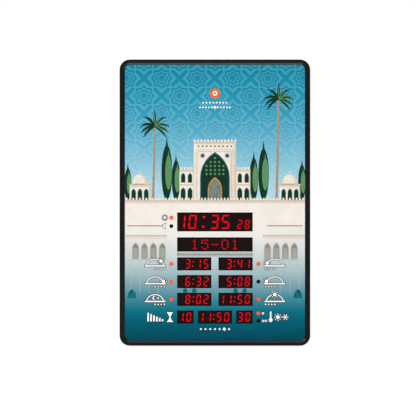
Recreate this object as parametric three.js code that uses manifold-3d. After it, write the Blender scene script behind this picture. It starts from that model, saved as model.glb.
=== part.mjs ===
// A wall clock that shows the five daily prayer times on red number displays.
// A black moulded frame holds a front panel faced with a printed sheet, both with windows.
// A flat rear cover carries the circuit boards, the loudspeaker and the set buttons.
//
// Frame of reference, in millimetres: X runs to the right and Z up, seen from the front.
// The clock faces -Y, and the wall is the plane y = 0, at the middle of the clock's back.
// A "depth" is measured from the clock's front towards the wall.

import * as THREE from "three";
import { mergeGeometries, mergeVertices } from "three/addons/utils/BufferGeometryUtils.js";
import Module from "manifold-3d";

const wasm = await Module();
wasm.setup();

// Driving dimensions of the whole clock
const clock_width = 333;
const clock_height = 500;
const clock_depth = 30;
const corner_radius = 18;

// Clearances that pieces share
const fit_gap = 0.3;
const slide_gap = 0.4;
const overrun = 1;
const merge_distance = 0.0001;
const least_radius = 0.5;

// Moulded frame
const frame_wall = 2.4;
const rim_width = 9;
const rim_bevel_width = 3.5;
const rim_bevel_drop = 1.6;
const rim_edge_radius = 3;
const ledge_width = 7;
const ledge_thickness = 2;
const cover_stands_proud = 0.5;

// Layers behind the rim, from the front
const sheet_thickness = 0.5;
const panel_thickness = 2;
const tape_thickness = 0.4;

// Windows in the printed sheet, stacked upwards from the frame's lower edge
const window_block_width = 132;
const lower_margin = 38.6;
const row_window_width = 59.8;
const row_window_height = 22.9;
const row_gap = 8.1;
const small_window_width = 28.8;
const date_window_height = 24.9;
const date_gap = 10;
const clock_window_height = 33.1;
const clock_gap = 10.4;

// Number displays
const display_overlap = 1;
const display_depth = 7.5;
const segment_height = 0.4;
const segment_gap = 0.35;
const slant_degrees = 5;
const big_digit = { height: 24.8, width: 13.6, stroke: 3, pitch: 19.3, colon_gap: 19.3 };
const small_digit = { height: 16.4, width: 8.4, stroke: 2.1, pitch: 13.1, colon_gap: 5.6 };
const big_digit_inset = 39.4;
const seconds_inset = 4.6;
const row_digit_inset = 4.4;
const pair_digit_inset = 3.6;
const colon_spread_share = 0.34;
const small_colon_spread_share = 0.23;
const big_colon_diameter = 5.2;
const small_colon_diameter = 3.1;
const colon_sides = 6;

// Dot matrix of the date display
const dot_pitch = 2.51;
const dot_diameter = 1.9;
const module_dots = 8;
const module_count = 6;
const module_groove = 0.3;
const dot_sides = 6;
const glyph_columns = 5;
const glyph_rows = 7;
const glyph_space = 2;

// Display board and its lamps
const board_thickness = 1.6;
const board_margin = 5;
const lamp_offset = 10;
const lamp_board_margin = 6;
const am_pm_spacing = 14.8;
const degree_spacing = 13.1;
const lamp = { radius: 2.5, flange_radius: 2.9, flange: 1, hole_radius: 3.2, sides: 8 };
const driver_chip = { width: 17.9, height: 7.5, thickness: 2.3, count: 4 };
const header = { width: 26, height: 6, thickness: 2.5 };
const receiver = { width: 5, height: 7, depth: 5.3, lens_radius: 2.2, sides: 10 };

// Main board
const main_board_width = 120;
const main_board_height = 80;
const main_board_standoff = 8;
const controller = { size: 12, thickness: 1.6 };
const can = { radius: 4, length: 9, sides: 8 };
const cell = { radius: 10, thickness: 3.2, sides: 16 };
const holder_wall = 1.5;
const holder_floor = 0.8;
const holder_slot = 12;

// Control board with its switches and the power socket
const control_board_width = 94;
const control_board_height = 24;
const control_board_standoff = 7.4;
const control_board_center_x = 75;
const control_board_edge_gap = 1.6;
const switch_size = 6;
const switch_height = 3.5;
const switch_floor = 1.2;
const button_names = ["menu", "up", "down", "enter", "sound"];
const button_pitch = 15;
const button_radius = 4;
const button_recess = 0.6;
const button_flange = 1.5;
const button_flange_thickness = 1.2;
const button_stem_radius = 1.7;
const button_travel = 0.5;
const button_dish = 0.5;
const button_sides = 10;
const jack = { width: 9, height: 11, length: 14, bore_radius: 3.15, bore_depth: 9.5 };
const jack_axis_height = 6.5;
const jack_pin_radius = 1;
const jack_pin_recess = 1;
const jack_offset = 29;
const jack_hole_radius = 4.5;
const sensor = { radius: 2.3, length: 4.6, sides: 10 };

// Rear cover
const cover_thickness = 2.5;
const lip_inset = 2;
const lip_thickness = 1.5;
const lip_height = 2;
const rib_thickness = 1.5;
const rib_height = 4.5;
const rib_spacing = 250;
const boss_radius = 3.5;
const boss_margin_top = 25;
const pad_radius = 4.5;
const pad_height = 2.3;
const screw_head_radius = 2.8;
const screw_head_height = 1.8;
const screw_shank_radius = 1.45;
const screw_length = 10;
const screw_head_recess = 0.6;
const round_sides = 10;
const small_round_sides = 8;
const stake_boss_radius = 3;
const stake_pin_radius = 1.3;
const stake_head_radius = 2.5;
const stake_head_height = 0.9;
const stake_inset = 5;
const keyhole_spacing = 200;
const keyhole_from_top = 45;
const keyhole_entry_radius = 5;
const keyhole_slot_width = 5;
const keyhole_slot_length = 12;
const keyhole_pocket_depth = 5;
const keyhole_pocket_margin = 1.6;
const keyhole_pocket_wall = 1.5;
const vent_width = 2.4;
const vent_length = 30;
const vent_pitch = 6.5;
const vent_count = 13;
const grille_radius = 22;
const grille_slot_width = 2.4;
const grille_pitch = 4.8;
const grille_slots = 9;
const grille_bar_width = 3;

// Loudspeaker
const speaker_radius = 28.5;
const speaker_flange = 0.8;
const speaker_flange_width = 4.5;
const speaker_basket_depth = 9.5;
const speaker_basket_floor_radius = 15;
const speaker_step = 3;
const speaker_wall = 0.8;
const magnet_radius = 14.5;
const magnet_height = 6.7;
const yoke_thickness = 2;
const pole_radius = 6.2;
const coil_gap = 1.3;
const coil_wall = 0.5;
const cone_wall = 0.5;
const cone_neck_rise = 1.6;
const dust_cap_rise = 2.2;
const surround_width = 2.8;
const surround_rise = 1;
const speaker_sides = 16;
const speaker_ring_wall = 1.4;
const speaker_ring_height = 3;
const hook_width = 5;
const hook_reach = 2.2;
const hook_thickness = 1.2;
const hook_count = 3;

// Free height between the boards and the speaker, shared out from the bottom
const free_height_shares = { above_displays: 0.256, above_main_board: 0.172 };

// Flat cables
const ribbon_thickness = 0.9;
const display_ribbon_width = 25;
const control_ribbon_width = 10;
const control_ribbon_inset = 16;
const speaker_lead_width = 3;
const ribbon_bow = 1.2;
const ribbon_steps = 6;

const corner_steps = 5;

// Depths that follow from the layers
const sheet_front = rim_bevel_drop;
const sheet_back = sheet_front + sheet_thickness;
const panel_back = sheet_back + panel_thickness;
const ledge_front = panel_back + tape_thickness;
const ledge_back = ledge_front + ledge_thickness;
const display_face = panel_back + fit_gap;
const display_back = display_face + display_depth;
const display_board_back = display_back + board_thickness;
const cover_inner = clock_depth - cover_thickness;
const frame_back = clock_depth - cover_stands_proud;
const main_board_back = cover_inner - main_board_standoff;
const main_board_front = main_board_back - board_thickness;
const control_board_back = cover_inner - control_board_standoff;
const control_board_front = control_board_back - board_thickness;

// Places across and up the clock
const half_width = clock_width / 2;
const half_height = clock_height / 2;
const block_right = window_block_width / 2;
const rise = { bottom: -half_height + lower_margin };
const row_bottom = (row) => rise.bottom + row * (row_window_height + row_gap);
const row_middle = (row) => row_bottom(row) + row_window_height / 2;
const date_bottom = row_bottom(3) + row_window_height + date_gap;
const date_middle = date_bottom + date_window_height / 2;
const clock_bottom = date_bottom + date_window_height + clock_gap;
const clock_middle = clock_bottom + clock_window_height / 2;
const display_board_half = block_right + lamp_offset + lamp_board_margin;
const display_board_bottom = rise.bottom - board_margin;
const display_board_top = clock_bottom + clock_window_height + board_margin;
const free_height =
  half_height - display_board_top - main_board_height - 2 * speaker_radius;
const main_board_bottom = display_board_top + free_height * free_height_shares.above_displays;
const main_board_top = main_board_bottom + main_board_height;
const speaker_z =
  main_board_top + free_height * free_height_shares.above_main_board + speaker_radius;
const control_board_bottom = -half_height + frame_wall + control_board_edge_gap;
const control_board_top = control_board_bottom + control_board_height;
const button_z = (control_board_bottom + control_board_top) / 2;
const boss_x = half_width - rim_width - boss_radius + overrun;
const boss_z = half_height - boss_margin_top;
const boss_places = [-1, 1].flatMap((side) =>
  [-1, 0, 1].map((level) => [side * boss_x, level * boss_z]),
);

// Basic solids

// A closed geometry as a solid, whichever way round its profile was listed.
function solid(geometry) {
  const plain = geometry.index ? geometry.toNonIndexed() : geometry.clone();
  plain.deleteAttribute("normal");
  plain.deleteAttribute("uv");
  const merged = mergeVertices(plain, merge_distance);
  const vertProperties = merged.getAttribute("position").array;
  const corners = new Uint32Array(merged.index.array);
  const made = new wasm.Manifold(new wasm.Mesh({ numProp: 3, vertProperties, triVerts: corners }));
  if (made.volume() >= 0) return made;
  return new wasm.Manifold(
    new wasm.Mesh({ numProp: 3, vertProperties, triVerts: corners.reverse() }),
  );
}

// The same outline, listed anticlockwise.
function counterClockwise(points) {
  const contour = points.map(([x, z]) => new THREE.Vector2(x, z));
  return THREE.ShapeUtils.area(contour) < 0 ? points.reverse() : points;
}

// An outline in the front view, extruded from one depth to another.
function prismGeometry(points, near, far) {
  const shape = new THREE.Shape(points.map(([x, z]) => new THREE.Vector2(x, z)));
  const geometry = new THREE.ExtrudeGeometry(shape, { depth: far - near, bevelEnabled: false });
  geometry.rotateX(Math.PI / 2);
  geometry.translate(0, far - clock_depth, 0);
  return geometry;
}

const prism = (points, near, far) => solid(prismGeometry(points, near, far));

// Many outlines that don't touch, extruded alike, as one solid.
const prisms = (outlines, near, far) =>
  solid(mergeGeometries(outlines.map((points) => prismGeometry(points, near, far))));

// A profile of [radius, depth] points turned about a line through the front view's (x, z).
function turned(profile, sides, x = 0, z = 0) {
  const points = profile.map(([radius, depth]) => new THREE.Vector2(radius, depth - clock_depth));
  const geometry = new THREE.LatheGeometry(points, sides);
  geometry.translate(x, 0, z);
  return solid(geometry);
}

const rectangle = (left, right, bottom, top) => [
  [left, bottom],
  [right, bottom],
  [right, top],
  [left, top],
];

const polygon = (x, z, radius, sides) =>
  Array.from({ length: sides }, (_, i) => {
    const angle = ((i + 0.5) / sides) * 2 * Math.PI;
    return [x + radius * Math.cos(angle), z + radius * Math.sin(angle)];
  });

function roundedRectangle(left, right, bottom, top, radius) {
  const corners = [
    [right - radius, top - radius],
    [left + radius, top - radius],
    [left + radius, bottom + radius],
    [right - radius, bottom + radius],
  ];
  return corners.flatMap(([x, z], quarter) =>
    Array.from({ length: corner_steps + 1 }, (_, step) => {
      const angle = ((quarter + step / corner_steps) * Math.PI) / 2;
      return [x + radius * Math.cos(angle), z + radius * Math.sin(angle)];
    }),
  );
}

// The clock's own outline, drawn in by an inset.
function outline(inset) {
  const radius = Math.max(corner_radius - inset, least_radius);
  const right = half_width - inset;
  const top = half_height - inset;
  return roundedRectangle(-right, right, -top, top, radius);
}

// A closed profile of [inset, depth] points swept round the clock's outline.
function sweptRing(profile) {
  const rings = profile.map(([inset, depth]) =>
    outline(inset).map(([x, z]) => [x, depth - clock_depth, z]),
  );
  const around = rings[0].length;
  const indices = [];
  rings.forEach((ring, i) => {
    const next = (i + 1) % rings.length;
    ring.forEach((_, k) => {
      const a = i * around + k;
      const b = i * around + ((k + 1) % around);
      const c = next * around + k;
      const d = next * around + ((k + 1) % around);
      indices.push(a, b, d, a, d, c);
    });
  });
  const geometry = new THREE.BufferGeometry();
  geometry.setAttribute("position", new THREE.Float32BufferAttribute(rings.flat(2), 3));
  geometry.setIndex(indices);
  return solid(geometry);
}

const joined = (first, ...others) => others.reduce((whole, piece) => whole.add(piece), first);
const cut = (first, ...others) => others.reduce((whole, piece) => whole.subtract(piece), first);

// The scene graph, in which every mesh is one sub-part

const finishes = {
  black_plastic: { color: 0x17181a, roughness: 0.38, metalness: 0 },
  cover_plastic: { color: 0x1d1e20, roughness: 0.6, metalness: 0 },
  panel_plastic: { color: 0x202224, roughness: 0.6, metalness: 0 },
  printed_film: { color: 0x3fa3b8, roughness: 0.5, metalness: 0 },
  tape: { color: 0xe8e6df, roughness: 0.8, metalness: 0 },
  red_display: { color: 0x5a0a10, roughness: 0.4, metalness: 0 },
  board_green: { color: 0x1f5a36, roughness: 0.5, metalness: 0 },
  lit_lamp: { color: 0xff6a10, roughness: 0.2, metalness: 0 },
  unlit_lamp: { color: 0x2b120c, roughness: 0.2, metalness: 0 },
  chip_black: { color: 0x1a1a1c, roughness: 0.5, metalness: 0 },
  steel: { color: 0xb9bcc0, roughness: 0.3, metalness: 1 },
  zinc_screw: { color: 0x8d9094, roughness: 0.35, metalness: 1 },
  ferrite: { color: 0x3b3b3e, roughness: 0.7, metalness: 0 },
  cone_paper: { color: 0x27272a, roughness: 0.9, metalness: 0 },
  rubber: { color: 0x141415, roughness: 0.7, metalness: 0 },
  cable_grey: { color: 0xa9acb0, roughness: 0.6, metalness: 0 },
  key_rubber: { color: 0x2c2d30, roughness: 0.65, metalness: 0 },
};

// A solid made where it stands becomes a named mesh.
function meshOf(name, made, finish) {
  const { numProp, vertProperties, triVerts } = made.getMesh();
  const positions = new THREE.InterleavedBuffer(vertProperties, numProp);
  const geometry = new THREE.BufferGeometry();
  geometry.setAttribute("position", new THREE.InterleavedBufferAttribute(positions, 3, 0));
  geometry.setIndex(new THREE.BufferAttribute(triVerts, 1));
  const mesh = new THREE.Mesh(
    geometry.toNonIndexed(),
    new THREE.MeshStandardMaterial(finishes[finish]),
  );
  mesh.geometry.computeVertexNormals();
  mesh.name = name;
  return mesh;
}

function groupOf(...meshes) {
  const group = new THREE.Group();
  group.add(...meshes);
  return group;
}

// Front frame: a hollow rim with a bevel towards the panel, a ledge behind the panel,
// a deep side wall, and bosses that the cover screws bite into

function frontFrame() {
  const edge = [0, 1, 2, 3].map((step) => {
    const angle = (step / 3) * (Math.PI / 2);
    const reach = rim_edge_radius;
    return [reach - reach * Math.cos(angle), reach - reach * Math.sin(angle)];
  });
  const ring = sweptRing([
    [0, frame_back],
    ...edge,
    [rim_width - rim_bevel_width, 0],
    [rim_width, rim_bevel_drop],
    [rim_width, ledge_front],
    [rim_width + ledge_width, ledge_front],
    [rim_width + ledge_width, ledge_back],
    [rim_width - frame_wall, ledge_back],
    [rim_width - frame_wall, frame_wall],
    [frame_wall, frame_wall],
    [frame_wall, frame_back],
  ]);
  const boss_end = cover_inner - pad_height;
  const bosses = boss_places.map(([x, z]) =>
    prism(polygon(x, z, boss_radius, small_round_sides), (ledge_front + ledge_back) / 2, boss_end),
  );
  const pilots = boss_places.map(([x, z]) =>
    prism(
      polygon(x, z, screw_shank_radius + fit_gap, small_round_sides),
      screw_seat - screw_length - overrun,
      boss_end + overrun,
    ),
  );
  return cut(joined(ring, ...bosses), ...pilots, jackHole());
}

// The round hole for the power plug in the frame's lower wall.
function jackHole() {
  const length = frame_wall + 2 * overrun;
  const geometry = new THREE.CylinderGeometry(jack_hole_radius, jack_hole_radius, length, round_sides);
  geometry.rotateX(Math.PI / 2);
  geometry.translate(
    jack_x,
    control_board_front - jack_axis_height - clock_depth,
    -half_height + frame_wall / 2,
  );
  return solid(geometry);
}

// Windows for the displays and holes for the lamps, alike in the sheet and the panel

const windows = [
  { name: "clock_display", left: -block_right, right: block_right, bottom: clock_bottom },
  { name: "date_display", left: -block_right, right: block_right, bottom: date_bottom },
  ...["isha", "maghrib", "asr"].map((prayer, i) => ({
    name: prayer + "_display",
    left: -block_right,
    right: -block_right + row_window_width,
    bottom: row_bottom(i + 1),
  })),
  ...["dhuhr", "sunrise", "fajr"].map((prayer, i) => ({
    name: prayer + "_display",
    left: block_right - row_window_width,
    right: block_right,
    bottom: row_bottom(i + 1),
  })),
  {
    name: "iqamah_display",
    left: -block_right,
    right: -block_right + small_window_width,
    bottom: rise.bottom,
  },
  {
    name: "jumuah_display",
    left: -row_window_width / 2,
    right: row_window_width / 2,
    bottom: rise.bottom,
  },
  {
    name: "temperature_display",
    left: block_right - small_window_width,
    right: block_right,
    bottom: rise.bottom,
  },
].map((opening) => {
  const tall = { clock_display: clock_window_height, date_display: date_window_height };
  return { ...opening, top: opening.bottom + (tall[opening.name] ?? row_window_height) };
});

const lamp_x = block_right + lamp_offset;
const lamps = [
  { name: "am_lamp", x: -lamp_x, z: clock_middle + am_pm_spacing / 2, lit: true },
  { name: "pm_lamp", x: -lamp_x, z: clock_middle - am_pm_spacing / 2, lit: false },
  { name: "asr_lamp", x: -lamp_x, z: row_middle(3), lit: true },
  { name: "maghrib_lamp", x: -lamp_x, z: row_middle(2), lit: true },
  { name: "isha_lamp", x: -lamp_x, z: row_middle(1), lit: true },
  { name: "fajr_lamp", x: lamp_x, z: row_middle(3), lit: true },
  { name: "sunrise_lamp", x: lamp_x, z: row_middle(2), lit: false },
  { name: "dhuhr_lamp", x: lamp_x, z: row_middle(1), lit: true },
  { name: "celsius_lamp", x: lamp_x, z: row_middle(0) + degree_spacing / 2, lit: true },
  { name: "fahrenheit_lamp", x: lamp_x, z: row_middle(0) - degree_spacing / 2, lit: false },
];

// A plate that fills the rim, with every window and lamp hole cut through it.
function facePlate(near, far) {
  const window_holes = windows.map((w) => rectangle(w.left, w.right, w.bottom, w.top));
  const lamp_holes = lamps.map(({ x, z }) => polygon(x, z, lamp.hole_radius, lamp.sides));
  return cut(
    prism(outline(rim_width + fit_gap), near, far),
    prisms([...window_holes, ...lamp_holes], near - overrun, far + overrun),
  );
}

// Double-sided tape between the panel and the frame's ledge.
function panelTape() {
  const inner = rim_width + ledge_width - fit_gap;
  const outer = rim_width + fit_gap;
  return sweptRing([
    [outer, panel_back],
    [inner, panel_back],
    [inner, ledge_front],
    [outer, ledge_front],
  ]);
}

// Seven-segment digits, raised on the face of the display that carries them

const segments_of = {
  0: "abcdef",
  1: "bc",
  2: "abdeg",
  3: "abcdg",
  4: "bcfg",
  5: "acdfg",
  6: "acdefg",
  8: "abcdefg",
};

const slant = Math.tan((slant_degrees * Math.PI) / 180);

// The bars of one digit, mitred at its corners, whose right edge at the top is at x = edge.
function digitOutlines(character, style, edge, middle) {
  const { height, width, stroke } = style;
  const side = width / 2;
  const top = height / 2;
  const half = stroke / 2;
  const gap = segment_gap;
  const center = edge - side - slant * top;
  const outer_bar = (way) => [
    [-side + gap, way * top],
    [side - gap, way * top],
    [side - stroke - gap, way * (top - stroke)],
    [-side + stroke + gap, way * (top - stroke)],
  ];
  const upright = (across, up) => [
    [across * side, up * (top - gap)],
    [across * side, up * gap],
    [across * (side - stroke), up * (half + gap)],
    [across * (side - stroke), up * (top - stroke - gap)],
  ];
  const middle_bar = [
    [-side + half + gap, 0],
    [-side + stroke + gap, half],
    [side - stroke - gap, half],
    [side - half - gap, 0],
    [side - stroke - gap, -half],
    [-side + stroke + gap, -half],
  ];
  const shapes = {
    a: outer_bar(1),
    b: upright(1, 1),
    c: upright(1, -1),
    d: outer_bar(-1),
    e: upright(-1, -1),
    f: upright(-1, 1),
    g: middle_bar,
  };
  return [...segments_of[character]].map((letter) =>
    counterClockwise(shapes[letter].map(([x, z]) => [center + x + slant * z, middle + z])),
  );
}

// A text of digits and a colon, set from the right as the display's cells are.
function textOutlines(text, style, last_edge, middle, colon) {
  const outlines = [];
  const full_width = style.width + slant * style.height;
  let edge = last_edge;
  for (const character of [...text].reverse()) {
    if (character === ":") {
      const x = (edge - style.colon_gap + edge + style.pitch - full_width) / 2;
      const spread = colon.share * style.height;
      for (const way of [-1, 1])
        outlines.push(
          polygon(x + way * slant * spread, middle + way * spread, colon.radius, colon_sides),
        );
      edge -= style.colon_gap;
    } else {
      outlines.push(...digitOutlines(character, style, edge, middle));
      edge -= style.pitch;
    }
  }
  return outlines;
}

const big_colon = { share: colon_spread_share, radius: big_colon_diameter / 2 };
const small_colon = { share: small_colon_spread_share, radius: small_colon_diameter / 2 };

const shown = {
  isha_display: ["8:02", row_digit_inset],
  maghrib_display: ["6:32", row_digit_inset],
  asr_display: ["3:15", row_digit_inset],
  dhuhr_display: ["11:50", row_digit_inset],
  sunrise_display: ["5:08", row_digit_inset],
  fajr_display: ["3:41", row_digit_inset],
  iqamah_display: ["10", pair_digit_inset],
  jumuah_display: ["11:50", row_digit_inset],
  temperature_display: ["30", pair_digit_inset],
};

// A display block a little larger than its window, with its lit segments on the face.
function displayBlock(opening, outlines) {
  const block = prism(
    rectangle(
      opening.left - display_overlap,
      opening.right + display_overlap,
      opening.bottom - display_overlap,
      opening.top + display_overlap,
    ),
    display_face,
    display_back,
  );
  return block.add(prisms(outlines, display_face - segment_height, display_face + segment_height));
}

function rowDisplay(opening) {
  const [text, inset] = shown[opening.name];
  const middle = (opening.bottom + opening.top) / 2;
  return displayBlock(
    opening,
    textOutlines(text, small_digit, opening.right - inset, middle, small_colon),
  );
}

function clockDisplay(opening) {
  const middle = (opening.bottom + opening.top) / 2;
  const drop = (big_digit.height - small_digit.height) / 2;
  return displayBlock(opening, [
    ...textOutlines("10:35", big_digit, opening.right - big_digit_inset, middle, big_colon),
    ...textOutlines("28", small_digit, opening.right - seconds_inset, middle - drop, small_colon),
  ]);
}

// Dots of the characters that the date display shows, row by row from the top
const glyphs = {
  0: ["01110", "10001", "10001", "10001", "10001", "10001", "01110"],
  1: ["00100", "01100", "00100", "00100", "00100", "00100", "01110"],
  5: ["11111", "10000", "11110", "00001", "00001", "10001", "01110"],
  "-": ["00000", "00000", "00000", "11111", "00000", "00000", "00000"],
};

function dateDots(text, middle) {
  const columns = text.length * (glyph_columns + glyph_space) - glyph_space;
  const left = (-(columns - 1) / 2) * dot_pitch;
  const top = middle + ((glyph_rows - 1) / 2) * dot_pitch;
  return [...text].flatMap((character, place) =>
    glyphs[character].flatMap((row, down) =>
      [...row].flatMap((dot, across) => {
        if (dot === "0") return [];
        const x = left + (place * (glyph_columns + glyph_space) + across) * dot_pitch;
        return [polygon(x, top - down * dot_pitch, dot_diameter / 2, dot_sides)];
      }),
    ),
  );
}

// Six dot-matrix modules in one holder, marked off by fine grooves, with a well at the
// left for the remote control's receiver.
function dateDisplay(opening) {
  const module_size = module_dots * dot_pitch;
  const half = (module_count * module_size) / 2;
  const middle = date_middle - dot_pitch / 2;
  const low = middle - module_size / 2;
  const high = middle + module_size / 2;
  const block = displayBlock(opening, dateDots("15-01", date_middle));
  const line = module_groove / 2;
  const grooves = Array.from({ length: module_count + 1 }, (_, i) => {
    const x = -half + i * module_size;
    return rectangle(x - line, x + line, low, high);
  });
  const well = rectangle(
    receiver_x - receiver.width / 2 - fit_gap,
    receiver_x + receiver.width / 2 + fit_gap,
    date_middle - receiver.height / 2 - fit_gap,
    date_middle + receiver.height / 2 + fit_gap,
  );
  return cut(
    block,
    prisms(grooves, display_face - overrun, display_face + module_groove),
    prism(well, display_face - overrun, display_back + overrun),
  );
}

function displayOf(opening) {
  if (opening.name === "clock_display") return clockDisplay(opening);
  if (opening.name === "date_display") return dateDisplay(opening);
  return rowDisplay(opening);
}

// Boards stand on bosses of the rear cover, and the pins of those bosses are melted over

const stake_x = display_board_half - stake_inset;
const display_stakes = [-1, 1].flatMap((side) =>
  [date_middle, (row_middle(2) + row_middle(3)) / 2, (row_middle(0) + row_middle(1)) / 2].map(
    (z) => [side * stake_x, z],
  ),
);
const main_stakes = [-1, 1].flatMap((side) =>
  [main_board_bottom + stake_inset, main_board_top - stake_inset].map((z) => [
    side * (main_board_width / 2 - stake_inset),
    z,
  ]),
);
const control_stakes = [-1, 1].flatMap((side) =>
  [control_board_bottom + stake_inset, control_board_top - stake_inset].map((z) => [
    control_board_center_x + side * (control_board_width / 2 - stake_inset),
    z,
  ]),
);

const stakeHoles = (places, near, far) =>
  prisms(
    places.map(([x, z]) => polygon(x, z, stake_pin_radius + fit_gap, small_round_sides)),
    near - overrun,
    far + overrun,
  );

const display_header_z = display_board_top - header.height;
const main_header_z = main_board_bottom + header.height;

function headerBlock(x, z, near, far, header_width = header.width) {
  return prism(
    rectangle(
      x - header_width / 2,
      x + header_width / 2,
      z - header.height / 2,
      z + header.height / 2,
    ),
    near,
    far,
  );
}

// The display board, with a row of driver chips and the ribbon's header on its back.
function displayBoard() {
  const board = prism(
    rectangle(-display_board_half, display_board_half, display_board_bottom, display_board_top),
    display_back,
    display_board_back,
  );
  const chips = Array.from({ length: driver_chip.count }, (_, i) => {
    const x = (i - (driver_chip.count - 1) / 2) * driver_chip.width * 2;
    const z = row_middle(2);
    return rectangle(
      x - driver_chip.width / 2,
      x + driver_chip.width / 2,
      z - driver_chip.height / 2,
      z + driver_chip.height / 2,
    );
  });
  const sunk = display_board_back - board_thickness / 2;
  return cut(
    joined(
      board,
      prisms(chips, sunk, display_board_back + driver_chip.thickness),
      headerBlock(ribbon_x, display_header_z, sunk, display_board_back + header.thickness),
    ),
    stakeHoles(display_stakes, display_back, display_board_back),
  );
}

function lampBody() {
  const { radius, flange_radius, flange, sides } = lamp;
  const base = clock_depth;
  const tip = clock_depth - (display_back - sheet_front);
  const shoulder = tip + radius;
  const dome = [2, 1, 0].map((step) => {
    const angle = (step / 2) * (Math.PI / 2);
    return [radius * Math.sin(angle), shoulder - radius * Math.cos(angle)];
  });
  return turned(
    [[0, base], [flange_radius, base], [flange_radius, base - flange], [radius, base - flange], ...dome],
    sides,
  );
}

const receiver_x = -(module_count * module_dots * dot_pitch) / 2 - fit_gap - receiver.width / 2;

// An infrared receiver with a round lens, beside the date modules.
function remoteReceiver() {
  const front = display_back - receiver.depth;
  const body = prism(
    rectangle(
      receiver_x - receiver.width / 2,
      receiver_x + receiver.width / 2,
      date_middle - receiver.height / 2,
      date_middle + receiver.height / 2,
    ),
    front,
    display_back,
  );
  const { lens_radius } = receiver;
  const lens = turned(
    [
      [0, front + fit_gap],
      [lens_radius, front + fit_gap],
      [lens_radius, front],
      [lens_radius * Math.cos(Math.PI / 4), front - lens_radius * Math.sin(Math.PI / 4)],
      [0, front - lens_radius],
    ],
    receiver.sides,
    receiver_x,
    date_middle,
  );
  return body.add(lens);
}

// Main board, with its two headers, three capacitors, and the controller and cell apart

const ribbon_x = -main_board_width / 4;
const control_ribbon_x = main_board_width / 2 - control_ribbon_inset;
const speaker_lead_x = -main_board_width / 8;
const cell_x = main_board_width / 8;
const cell_z = (main_board_bottom + main_board_top) / 2;
const controller_x = -main_board_width / 8;

function mainBoard() {
  const half = main_board_width / 2;
  const board = prism(
    rectangle(-half, half, main_board_bottom, main_board_top),
    main_board_front,
    main_board_back,
  );
  const sunk = (main_board_front + main_board_back) / 2;
  const cans = [0, 1, 2].map((i) => {
    const z = main_board_top - stake_inset - (i + 1) * 3 * can.radius;
    return polygon(-half + 2 * can.radius, z, can.radius, can.sides);
  });
  return cut(
    joined(
      board,
      prisms(cans, main_board_front - can.length, sunk),
      headerBlock(ribbon_x, main_header_z, main_board_front - header.thickness, sunk),
      headerBlock(
        control_ribbon_x,
        main_header_z,
        sunk,
        main_board_back + header.thickness,
        control_ribbon_width,
      ),
      headerBlock(
        speaker_lead_x,
        main_board_top - header.height,
        sunk,
        main_board_back + header.thickness,
        2 * speaker_lead_width,
      ),
    ),
    stakeHoles(main_stakes, main_board_front, main_board_back),
  );
}

const controllerChip = () =>
  prism(
    rectangle(
      controller_x - controller.size / 2,
      controller_x + controller.size / 2,
      cell_z - controller.size / 2,
      cell_z + controller.size / 2,
    ),
    main_board_front - controller.thickness,
    main_board_front,
  );

// The holder is a cup with a slot at its top, from which the cell is pushed out.
function coinCellHolder() {
  const inner = cell.radius + fit_gap;
  const outer = inner + holder_wall;
  const rear = main_board_back + holder_floor + cell.thickness;
  const cup = turned(
    [
      [0, main_board_back],
      [outer, main_board_back],
      [outer, rear],
      [inner, rear],
      [inner, main_board_back + holder_floor],
      [0, main_board_back + holder_floor],
    ],
    cell.sides,
    cell_x,
    cell_z,
  );
  const slot = prism(
    rectangle(cell_x - holder_slot / 2, cell_x + holder_slot / 2, cell_z + inner / 2, cell_z + 2 * outer),
    main_board_back + holder_floor,
    rear + overrun,
  );
  return cup.subtract(slot);
}

const coinCell = () =>
  prism(
    polygon(cell_x, cell_z, cell.radius, cell.sides),
    main_board_back + holder_floor,
    main_board_back + holder_floor + cell.thickness,
  );

// Control board with the set switches at its back and the power socket at its front

const jack_x = control_board_center_x + jack_offset;
const jack_mouth = -half_height + frame_wall + fit_gap;
const jack_axis = control_board_front - jack_axis_height - clock_depth;

function controlBoard() {
  const half = control_board_width / 2;
  const board = prism(
    rectangle(
      control_board_center_x - half,
      control_board_center_x + half,
      control_board_bottom,
      control_board_top,
    ),
    control_board_front,
    control_board_back,
  );
  const sunk = (control_board_front + control_board_back) / 2;
  const plug = headerBlock(
    control_ribbon_x,
    control_board_top - header.height / 2,
    sunk,
    control_board_back + header.thickness,
    control_ribbon_width,
  );
  return cut(
    joined(board, plug),
    stakeHoles(control_stakes, control_board_front, control_board_back),
  );
}

function alongZ(radius, from, to, sides) {
  const geometry = new THREE.CylinderGeometry(radius, radius, to - from, sides);
  geometry.rotateX(Math.PI / 2);
  geometry.translate(jack_x, jack_axis, (from + to) / 2);
  return solid(geometry);
}

function powerSocket() {
  const near = control_board_front - jack.height;
  const body = prism(
    rectangle(
      jack_x - jack.width / 2,
      jack_x + jack.width / 2,
      jack_mouth,
      jack_mouth + jack.length,
    ),
    near,
    control_board_front,
  );
  return cut(
    body,
    alongZ(jack.bore_radius, jack_mouth - overrun, jack_mouth + jack.bore_depth, round_sides),
  );
}

const socketPin = () =>
  alongZ(
    jack_pin_radius,
    jack_mouth + jack_pin_recess,
    jack_mouth + jack.bore_depth,
    round_sides,
  );

const sensor_x = control_board_center_x - control_board_width / 2 + 2 * stake_inset;

const temperatureSensor = () =>
  prism(
    polygon(sensor_x, button_z, sensor.radius, sensor.sides),
    control_board_back,
    control_board_back + sensor.length,
  );

// A switch body with a well for the button's stem, drawn round the middle of its base.
function switchBody() {
  const half = switch_size / 2;
  const top = clock_depth + switch_height;
  const block = prism(rectangle(-half, half, -half, half), clock_depth, top);
  const well = prism(
    polygon(0, 0, button_stem_radius + fit_gap, button_sides),
    clock_depth + switch_floor,
    top + overrun,
  );
  return block.subtract(well);
}

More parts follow.
